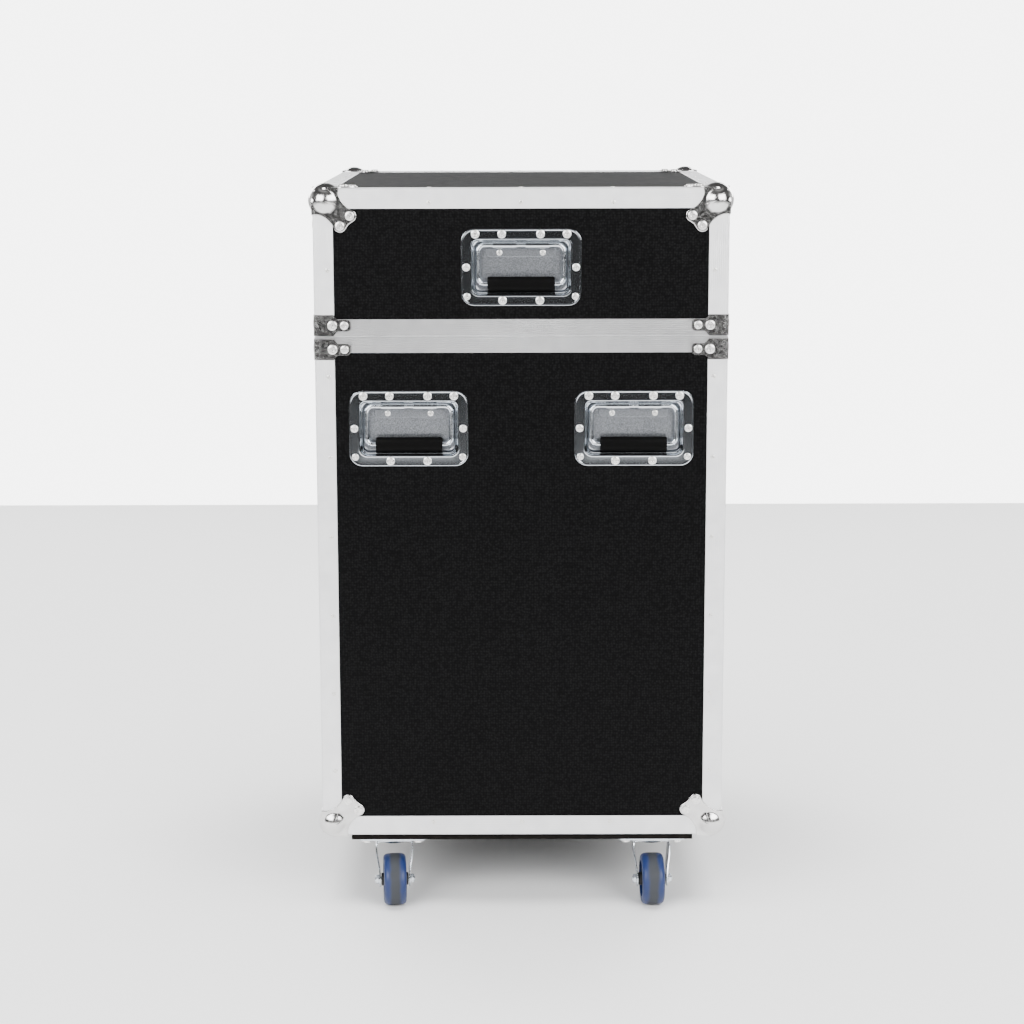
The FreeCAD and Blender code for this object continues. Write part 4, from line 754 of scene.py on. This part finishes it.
def bracket_shape(middle):
    """A rounded strip section carried round the case corner at +X +Y: its height follows the
    outline of the bracket, full over the post and narrow over the rim."""
    reach, leg = 54.0, 29.0
    tall, tongue = 32.0, 18.0
    tip = 5.0
    half = np.concatenate([np.linspace(0, leg - 3, 6), np.linspace(leg - 1.5, leg + 8, 12),
                           np.linspace(leg + 10, reach - tip, 4),
                           reach - tip + tip * np.sin(np.linspace(0.15, 0.5, 8) * np.pi)])
    height = np.full(len(half), tall)
    flare = np.clip((half - leg) / 8.0, 0, 1)
    height = np.where(half > leg, tongue + (tall - tongue) * (1 - np.sin(flare * np.pi / 2)), height)
    ended = np.clip((half - (reach - tip)) / tip, 0, 1)
    height = height - 2 * tip * (1 - np.sqrt(np.clip(1 - ended ** 2, 0, 1)))
    along = np.concatenate([-half[::-1], half[1:]])
    height = np.concatenate([height[::-1], height[1:]])
    bend = 2.2
    outer = PLATE
    rings = []
    edge = 0.4
    for offset, share in ((0.0, -1.0), (outer - edge, -1.0), (outer, -1.0), (outer, 1.0), (outer - edge, 1.0),
                          (0.0, 1.0)):
        tuck = edge if offset == outer else 0.0
        level = middle + share * (height / 2 - tuck)
        travel = np.abs(along)
        turn = np.clip(travel / bend, 0, 1) * np.pi / 4
        radius = bend + offset
        centre = np.array([HALF_X - bend, HALF_Y - bend])
        bow_x = centre[0] + radius * np.sin(np.pi / 4 + turn)
        bow_y = centre[1] + radius * np.cos(np.pi / 4 + turn)
        straight = np.clip(travel - bend, 0, None)
        x = np.where(along > 0, bow_x, centre[0] + radius * np.sin(np.pi / 4 - turn) - straight)
        y = np.where(along > 0, bow_y - straight, centre[1] + radius * np.cos(np.pi / 4 - turn))
        rings.append(np.stack([x, y, level], axis=-1))
    shape = Shape()
    shape.run(np.stack(rings, axis=1))
    return shape


def brackets(name, node, body):
    low, high = node_box(node)
    bracket_shape((low[2] + high[2]) / 2).at_four_corners().piece(name, body, "bright_steel", [node], 35.0)


brackets("base_angle_brackets", "base_rim_brackets", "base")
brackets("lid_angle_brackets", "lid_rim_brackets", "lid")


# ---------------------------------------------------------------- rivets

RIVET_PROFILE = np.array([[1.0, 0.0], [1.0, 0.10], [0.93, 0.24], [0.74, 0.31], [0.46, 0.33], [0.36, 0.30],
                          [0.30, 0.02], [0.0, 0.0]])


def rivet_heads(name, node, body):
    """A domed head with a dimple for each solid of the node: the short side of the solid's box
    is the rivet's axis, and half of the long side its radius."""
    one = turned_about(RIVET_PROFILE, 14)
    shape = Shape()
    for low, high in solids_of(node):
        size = high - low
        axis = int(np.argmin(size))
        middle = (low + high) / 2
        out = np.zeros(3)
        if axis == 2:
            out[2] = 1.0 if middle[2] > SPLIT_Z else -1.0
        else:
            out[axis] = np.sign(middle[axis])
        seat = middle.copy()
        seat[axis] = low[axis] if out[axis] > 0 else high[axis]
        first, second, out = axes_for(out)
        radius = size.max() / 2
        grid = seat + radius * (one[..., :1] * first + one[..., 1:2] * second + one[..., 2:] * out)
        shape.surface(grid, close_rows=True)
    shape.piece(name, body, "rivet_steel", [node], 35.0)


rivet_heads("base_rivet_heads", "base_rivets", "base")
rivet_heads("lid_rivet_heads", "lid_rivets", "lid")


# ---------------------------------------------------------------- recessed handles, for the +Y face

def dish_ring(half_wide, half_high, top, bottom, out):
    """One outline of the dish at a height out of the panel face."""
    outline = rounded_box_outline(half_wide, half_high, (top, top, bottom, bottom))
    return np.stack([outline[:, 0], np.full(len(outline), out), outline[:, 1]], axis=-1)


# Flange outlines: inset from its edge, corner radius, height out of the case face.
DISH_FLANGE = ((0.0, 20, -1.5), (0.0, 20, -0.5), (0.3, 19.7, -0.12), (0.9, 19.1, 0.0), (2.4, 17.6, 0.0),
               (3.0, 17, -0.30), (3.3, 16.7, -0.30))
# Mouth outlines: inset at the sides and at the ends, top and bottom radius, height.
DISH_MOUTH = ((-2.6, -2.6, 11.8, 13.8, -0.30), (-2.2, -2.2, 11.5, 13.5, -0.28), (-1.2, -1.2, 11, 12.5, 0.0),
              (0.0, 0.0, 10, 12, -0.3), (0.7, 0.7, 9.6, 11.6, -1.4), (1.6, 1.6, 9.2, 11, -6.0),
              (2.2, 2.2, 9, 10.8, -7.0), (3.2, 3.2, 8.8, 10.4, -7.6), (3.8, 3.8, 8.6, 10, -8.6),
              (4.4, 4.4, 8.2, 9.6, -17.5), (5.2, 5.2, 7.8, 9, -19.2), (7.0, 7.0, 6.8, 8, -20.0),
              (7.6, 7.4, 6.6, 7.8, -20.0), (11.0, 9.0, 5, 6, -20.0))


def dish_shape():
    """The dish as nested outlines from the flange's edge inwards: flange, raised lip, wall, step
    and floor; out is measured from the case face."""
    rings = [(DISH_WIDE / 2 - inset, DISH_HIGH / 2 - inset, radius, radius, out)
             for inset, radius, out in DISH_FLANGE]
    rings += [(MOUTH_WIDE / 2 - side, MOUTH_HIGH / 2 - end, top, bottom, out)
              for side, end, top, bottom, out in DISH_MOUTH]
    shape = Shape()
    grid = np.stack([dish_ring(*ring) for ring in rings])
    grid[..., 1] += HALF_Y
    rows, columns = grid.shape[:2]
    faces = grid_faces(rows, columns, close_columns=True)
    faces.append(tuple(range((rows - 1) * columns, rows * columns)))
    shape.add(grid, faces)
    return shape


LEAF_HALF = np.array([53.0, 7.0])
LEAF_DROP = 12.0
KNUCKLE_OUTER = 5.6
KNUCKLE_INNER = 4.2
KNUCKLE_END = 42.0
WINDOW_HALF = 7.0


def hinge_shape():
    """The hinge leaf, and its knuckle in two lengths round the bail's top bar with the spring's
    window between them."""
    axis_y = HALF_Y - BAIL_INSET
    axis_z = MOUTH_HIGH / 2 - HINGE_DROP
    floor_y = HALF_Y - DISH_DEPTH
    shape = Shape()
    leaf_middle = axis_z - LEAF_DROP
    outline = rounded_box_outline(*LEAF_HALF, (3, 3, 7, 7))
    rings = []
    for inset, out in ((0.0, 0.0), (0.0, 0.6), (0.4, 1.2), (1.1, 1.5), (1.4, 1.5)):
        flat = outline * ((LEAF_HALF - inset) / LEAF_HALF)
        level = np.full(len(flat), floor_y + out)
        rings.append(np.stack([flat[:, 0], level, leaf_middle + flat[:, 1]], axis=-1))
    shape.run(np.stack(rings))
    turn = np.linspace(-0.62 * np.pi, 1.18 * np.pi, 20)
    circle = np.stack([np.cos(turn), np.sin(turn)], axis=-1)
    axis = np.array([axis_y, axis_z])
    root = np.array([[floor_y + 1.5, leaf_middle + 6.0], [floor_y + 1.6, axis_z - 4.0]])
    outer = np.vstack([root, axis + KNUCKLE_OUTER * circle])
    inner = np.vstack([(axis + KNUCKLE_INNER * circle)[::-1],
                       [[floor_y + 0.2, axis_z - 4.0], [floor_y + 0.2, leaf_middle + 6.0]]])
    section = np.vstack([outer, inner])
    for start, end in ((-KNUCKLE_END, -WINDOW_HALF), (WINDOW_HALF, KNUCKLE_END)):
        ends = [np.column_stack([np.full(len(section), x), section]) for x in (start, end)]
        shape.run(np.stack(ends))
    return shape


def bail_path(steps=10):
    """The bail's centre line, a rounded rectangle in X and Z."""
    top = MOUTH_HIGH / 2 - HINGE_DROP
    low = -MOUTH_HIGH / 2 + GRIP_RISE
    outline = rounded_box_outline(BAIL_WIDE / 2, (top - low) / 2, (10, 10, 10, 10), steps)
    return outline + np.array([0.0, (top + low) / 2])


def bail_shape():
    """A round section carried round the bail's centre line."""
    path = bail_path()
    ahead = np.roll(path, -1, axis=0) - np.roll(path, 1, axis=0)
    ahead /= np.linalg.norm(ahead, axis=1)[:, None]
    side = np.stack([ahead[:, 1], -ahead[:, 0]], axis=-1)
    turn = np.linspace(0, 2 * np.pi, 16, endpoint=False)
    x = path[:, 0, None] + BAIL_RADIUS * np.cos(turn) * side[:, 0, None]
    z = path[:, 1, None] + BAIL_RADIUS * np.cos(turn) * side[:, 1, None]
    y = np.broadcast_to(HALF_Y - BAIL_INSET + BAIL_RADIUS * np.sin(turn), x.shape)
    shape = Shape()
    shape.surface(np.stack([x, y, z], axis=-1), close_rows=True, close_columns=True)
    return shape


def grip_shape():
    """The sleeve: an oval section with a raised moulding line, carried along X and rounded at
    its ends."""
    half_deep, half_tall, squareness = 7.0, 11.25, 0.78
    line_level, line_width, line_rise = 3.4, 0.55, 0.45
    near_line = 0.217 + np.linspace(-0.09, 0.09, 7)
    turn = np.sort(np.append(np.linspace(0, 2 * np.pi, 48, endpoint=False), near_line))
    deep = half_deep * np.sign(np.cos(turn)) * np.abs(np.cos(turn)) ** squareness
    tall = half_tall * np.sign(np.sin(turn)) * np.abs(np.sin(turn)) ** squareness
    deep = deep + line_rise * np.exp(-((tall - line_level) / line_width) ** 2) * (deep > 0)
    ends = np.array([[-50.5, 0.80], [-50.2, 0.90], [-49.3, 0.97], [-47.5, 1.0], [47.5, 1.0], [49.3, 0.97],
                     [50.2, 0.90], [50.5, 0.80]])
    middle_y = HALF_Y - BAIL_INSET
    middle_z = -MOUTH_HIGH / 2 + GRIP_RISE
    y = middle_y + ends[:, 1:] * deep
    z = middle_z + ends[:, 1:] * tall
    x = np.broadcast_to(ends[:, :1], y.shape)
    shape = Shape()
    shape.run(np.stack([x, y, z], axis=-1))
    return shape


def moved(shape, offset, signs):
    other = Shape()
    other.add((shape.points + np.array(offset, float)) * np.array(signs, float), shape.faces)
    return other


def handle_spots():
    """(spot name, x, z of the dish's centre, the shell it is in), from the bails' boxes."""
    for spot, shell in (("left", "base"), ("right", "base"), ("lid", "lid")):
        low, high = node_box(f"back_{spot}_handle_bail")
        yield spot, (low[0] + high[0]) / 2, high[2] - BAIL_RADIUS - MOUTH_HIGH / 2 + HINGE_DROP, shell


def make_handles():
    dish, hinge, loop, sleeve = dish_shape(), hinge_shape(), bail_shape(), grip_shape()
    dishes = {"base": Shape(), "lid": Shape()}
    leaves = {"base": Shape(), "lid": Shape()}
    for spot, x, z, shell in handle_spots():
        for end, sign in (("front", -1), ("back", 1)):
            signs = (1, sign, 1)
            dishes[shell].join(moved(dish, (x, 0, z), signs))
            leaves[shell].join(moved(hinge, (x, 0, z), signs))
            body = f"{end}_{spot}_handle"
            moved(loop, (x, 0, z), signs).piece(f"{body}_loop", body, "zinc_steel", [f"{body}_bail"])
            moved(sleeve, (x, 0, z), signs).piece(f"{body}_sleeve", body, "grip_rubber", [f"{body}_grip"])
    for shell in ("base", "lid"):
        covered = [f"{shell}_handle_dishes"]
        pan = dishes[shell].piece(f"{shell}_handle_pans", shell, "zinc_steel", covered, 30.0)
        wall = pan.modifiers.new("wall", "SOLIDIFY")
        wall.thickness = 1.3 * MM
        wall.offset = -1
        leaf = leaves[shell].piece(f"{shell}_handle_hinges", shell, "zinc_steel", covered, 35.0)
        for pressed in (pan, leaf):
            pressed.data.materials[0] = DISH_FINISH


make_handles()


# ---------------------------------------------------------------- castors, about a swivel axis at x = y = 0

CASTER_TALL = 108.0
CASTER_PLATE = 105.0
CROWN = 98.6
AXLE_Y = -34.0
AXLE_Z = 40.0
FORK_HALF = 1.25
FORK_BOSS = 12.0
WHEEL_HALF = 17.5


def rounded_line(points, bends, steps=6):
    """A polyline whose inner points are replaced by short curves that start and end a bend's
    length away."""
    points = np.asarray(points, float)
    line = [points[:1]]
    for before, point, after, bend in zip(points[:-2], points[1:-1], points[2:], bends):
        start = point + (before - point) / np.linalg.norm(before - point) * bend
        end = point + (after - point) / np.linalg.norm(after - point) * bend
        share = np.linspace(0, 1, steps)[:, None]
        line.append((1 - share) ** 2 * start + 2 * share * (1 - share) * point + share ** 2 * end)
    line.append(points[-1:])
    return np.vstack(line)


def evenly(line, spacing):
    """The line sampled at even distances along it."""
    travel = np.concatenate([[0], np.cumsum(np.linalg.norm(np.diff(line, axis=0), axis=1))])
    places = np.linspace(0, travel[-1], int(travel[-1] / spacing) + 1)
    return np.stack([np.interp(places, travel, line[:, k]) for k in range(line.shape[1])], axis=-1)


def fork_shape():
    """Bent strip: down one leg, across the crown and down the other, drawn in towards the axle.
    The strip's front and back edges depend on height: raked lines that end in a circle round
    the axle. Below the crown hangs the pressed bearing race."""
    top = CROWN - FORK_HALF
    half = [(28.25, top), (28.25, 80.0), (23.25, 53.0), (23.25, 28.05)]
    corners = [(-x, z) for x, z in half[::-1]] + half
    line = evenly(rounded_line(corners, (10, 10, 7, 7, 10, 10)), 1.0)
    ahead = np.gradient(line, axis=0)
    ahead /= np.linalg.norm(ahead, axis=1)[:, None]
    out = np.stack([-ahead[:, 1], ahead[:, 0]], axis=-1)
    z = line[:, 1]
    ring = np.sqrt(np.clip(FORK_BOSS ** 2 - (z - AXLE_Z) ** 2, 1.5, None))
    front = np.where(z < 32.8, AXLE_Y + ring, -24.4 + (z - 32.8) * 0.591)
    back = np.where(z < 43.6, AXLE_Y - ring, -46.0 + (z - 43.6) * 0.441)
    rings = []
    for offset, edge, tuck in ((1, front, -0.5), (1, back, 0.5), (0.6, back, 0), (-0.6, back, 0),
                               (-1, back, 0.5), (-1, front, -0.5), (-0.6, front, 0), (0.6, front, 0)):
        flat = line + out * offset * FORK_HALF
        rings.append(np.stack([flat[:, 0], edge + tuck, flat[:, 1]], axis=-1))
    shape = Shape()
    shape.run(np.stack(rings, axis=1))
    race = np.array([[25.5, 96.2], [24.8, 95.0], [21.0, 93.6], [14.0, 92.4], [8.8, 92.0], [8.8, 93.2],
                     [14.0, 93.6], [21.0, 94.8], [23.5, 96.2]])
    shape.surface(turned_about(race, 40), close_rows=True, close_columns=True)
    shape.join(axle_shape())
    return shape


def axle_shape():
    """The axle bolt along X: a washer, a chamfered six-sided head and the bolt's end on each side."""
    shape = Shape()
    turn = np.linspace(0, 2 * np.pi, 24, endpoint=False)
    sixth = (turn + np.pi / 6) % (np.pi / 3) - np.pi / 6
    six = 6.45 / np.cos(sixth)
    bolt = np.full(24, 3.5)
    bars = [(24.6, np.full(24, 7.4)), (25.6, np.full(24, 7.4)), (25.9, np.full(24, 7.0)), (25.9, six),
            (29.2, six), (30.0, np.minimum(six, 6.3)), (30.0, bolt), (31.2, bolt), (31.5, bolt * 0.85)]
    for side in (-1, 1):
        rings = [np.stack([np.full(24, side * x), AXLE_Y + radius * np.cos(turn),
                           AXLE_Z + radius * np.sin(turn)], axis=-1) for x, radius in bars]
        shape.run(np.stack(rings))
    rod = [np.stack([np.full(24, x), AXLE_Y + 4 * np.cos(turn), AXLE_Z + 4 * np.sin(turn)], axis=-1)
           for x in (-24.6, 24.6)]
    shape.run(np.stack(rod))
    return shape


def plate_shape():
    """Mounting plate with rounded corners, bearing cup and king pin head."""
    shape = Shape()
    half = np.array([52.5, 42.5])
    outline = rounded_box_outline(*half, (8, 8, 8, 8), 6)
    rings = []
    for inset, z in ((0, CASTER_TALL), (0, CASTER_PLATE + 0.5), (0.5, CASTER_PLATE)):
        rings.append(np.column_stack([outline * ((half - inset) / half), np.full(len(outline), z)]))
    shape.run(np.stack(rings))
    cup = np.array([[27.0, CASTER_PLATE], [27.0, 101.0], [26.0, 99.4], [24.0, 99.0], [0.0, 99.0]])
    shape.surface(turned_about(cup, 40), close_rows=True)
    pin = np.array([[5.9, 99.0], [5.9, 95.7], [8.0, 95.7], [8.0, 92.6], [6.8, 91.7], [0.0, 91.7]])
    shape.surface(turned_about(pin, 24), close_rows=True)
    return shape


def turned_on_axle(profile, steps):
    """A closed profile of (x, radius) points turned about the axle, which lies along X."""
    turn = np.linspace(0, 2 * np.pi, steps, endpoint=False)[:, None]
    x = np.broadcast_to(profile[None, :, 0], (steps, len(profile)))
    y = AXLE_Y + profile[None, :, 1] * np.cos(turn)
    z = AXLE_Z + profile[None, :, 1] * np.sin(turn)
    shape = Shape()
    shape.surface(np.stack([x, y, z], axis=-1), close_rows=True, close_columns=True)
    return shape


def tread_shape():
    """The tyre turned about the axle: nearly flat across the middle, with rounded shoulders."""
    half = [(0.0, 40.0), (5.0, 39.98), (9.5, 39.8), (12.6, 39.3), (15.0, 38.2), (16.6, 36.6), (17.3, 34.8),
            (WHEEL_HALF, 33.0), (WHEEL_HALF, 28.0)]
    return turned_on_axle(np.array([(-x, r) for x, r in half[:0:-1]] + half), 84)


def hub_shape():
    """The hub turned about the axle: rim, thin web and boss, with softened edges."""
    half = [(4.0, 12.5), (6.0, 10.3), (20.4, 10.0), (21.0, 9.4), (21.0, 4.1)]
    rim_half = [(4.0, 21.5), (6.0, 23.4), (13.4, 24.0), (14.0, 24.6), (14.0, 28.0)]
    right = rim_half[::-1] + half
    return turned_on_axle(np.array(right + [(-x, r) for x, r in right[::-1]]), 60)


def swivelled(shape, angle, place):
    """The shape turned about Z and moved to a castor's place."""
    cos, sin = math.cos(angle), math.sin(angle)
    turn = np.array([[cos, sin, 0], [-sin, cos, 0], [0, 0, 1]])
    other = Shape()
    other.add(shape.points @ turn + np.array([place[0], place[1], 0]), shape.faces)
    return other


def make_castors():
    fork, tread, hub, plate = fork_shape(), tread_shape(), hub_shape(), plate_shape()
    joints = {joint["name"]: joint for joint in frame["joints"]}
    plates = Shape()
    for end in ("front", "back"):
        for side in ("left", "right"):
            spot = f"{end}_{side}"
            place = np.array(joints[f"{spot}_caster_swivel"]["pos_m"]) / MM
            trail = np.array(joints[f"{spot}_wheel_roll"]["pos_m"]) / MM - place
            angle = math.atan2(trail[0], -trail[1])
            plates.join(swivelled(plate, 0, place))
            forked = swivelled(fork, angle, place)
            forked.piece(f"{spot}_fork_strip", f"{spot}_caster", "zinc_steel", [f"{spot}_caster_fork"], 35.0)
            tyre = swivelled(tread, angle, place).piece(f"{spot}_tyre", f"{spot}_wheel", "elastic_tread",
                                                        [f"{spot}_wheel_tread"])
            swivelled(hub, angle, place).piece(f"{spot}_hub", f"{spot}_wheel", "wheel_hub",
                                               [f"{spot}_wheel_hub"])
            paint_across(tyre, place, angle)
    plates.piece("caster_cup_plates", "base", "zinc_steel", ["caster_plates"], 35.0)


def paint_across(tyre, place, angle):
    """Stores on each point its distance from the wheel's middle plane, as a share of the half width."""
    points = np.empty(len(tyre.data.vertices) * 3)
    tyre.data.vertices.foreach_get("co", points)
    points = points.reshape(-1, 3) / MM - place * np.array([1, 1, 0])
    away = np.abs(points[:, 0] * math.cos(angle) + points[:, 1] * math.sin(angle)) / WHEEL_HALF
    layer = tyre.data.attributes.new("across", "FLOAT", "POINT")
    layer.data.foreach_set("value", away.astype(np.float32))


make_castors()


# ---------------------------------------------------------------- CAD nodes that keep their shape

LATCH_BEVEL = 0.5


def finish_cad_nodes():
    """Every CAD node takes its slot's finish, and small hardware gets softened edges."""
    slots = {item["node"]: item["material_slot"] for item in frame["record"]["subparts"]}
    soft = {"base_latch_dishes": 0.6, "lid_latch_keepers": 0.6, "rack_rails": 0.4, "caster_bolts": 0.5,
            "castor_board": 0.6, "rack_battens": 0.8}
    for node, item in frame["nodes"].items():
        item.data.materials.clear()
        item.data.materials.append(FINISHES[slots[node]])
        width = soft.get(node, LATCH_BEVEL if "_latch_" in node else 0)
        if width:
            weld = item.modifiers.new("weld", "WELD")
            weld.merge_threshold = 0.00002
            bevel = item.modifiers.new("bevel", "BEVEL")
            bevel.width = width * MM
            bevel.segments = 2
            bevel.limit_method = "ANGLE"
            bevel.angle_limit = math.radians(35)


finish_cad_nodes()
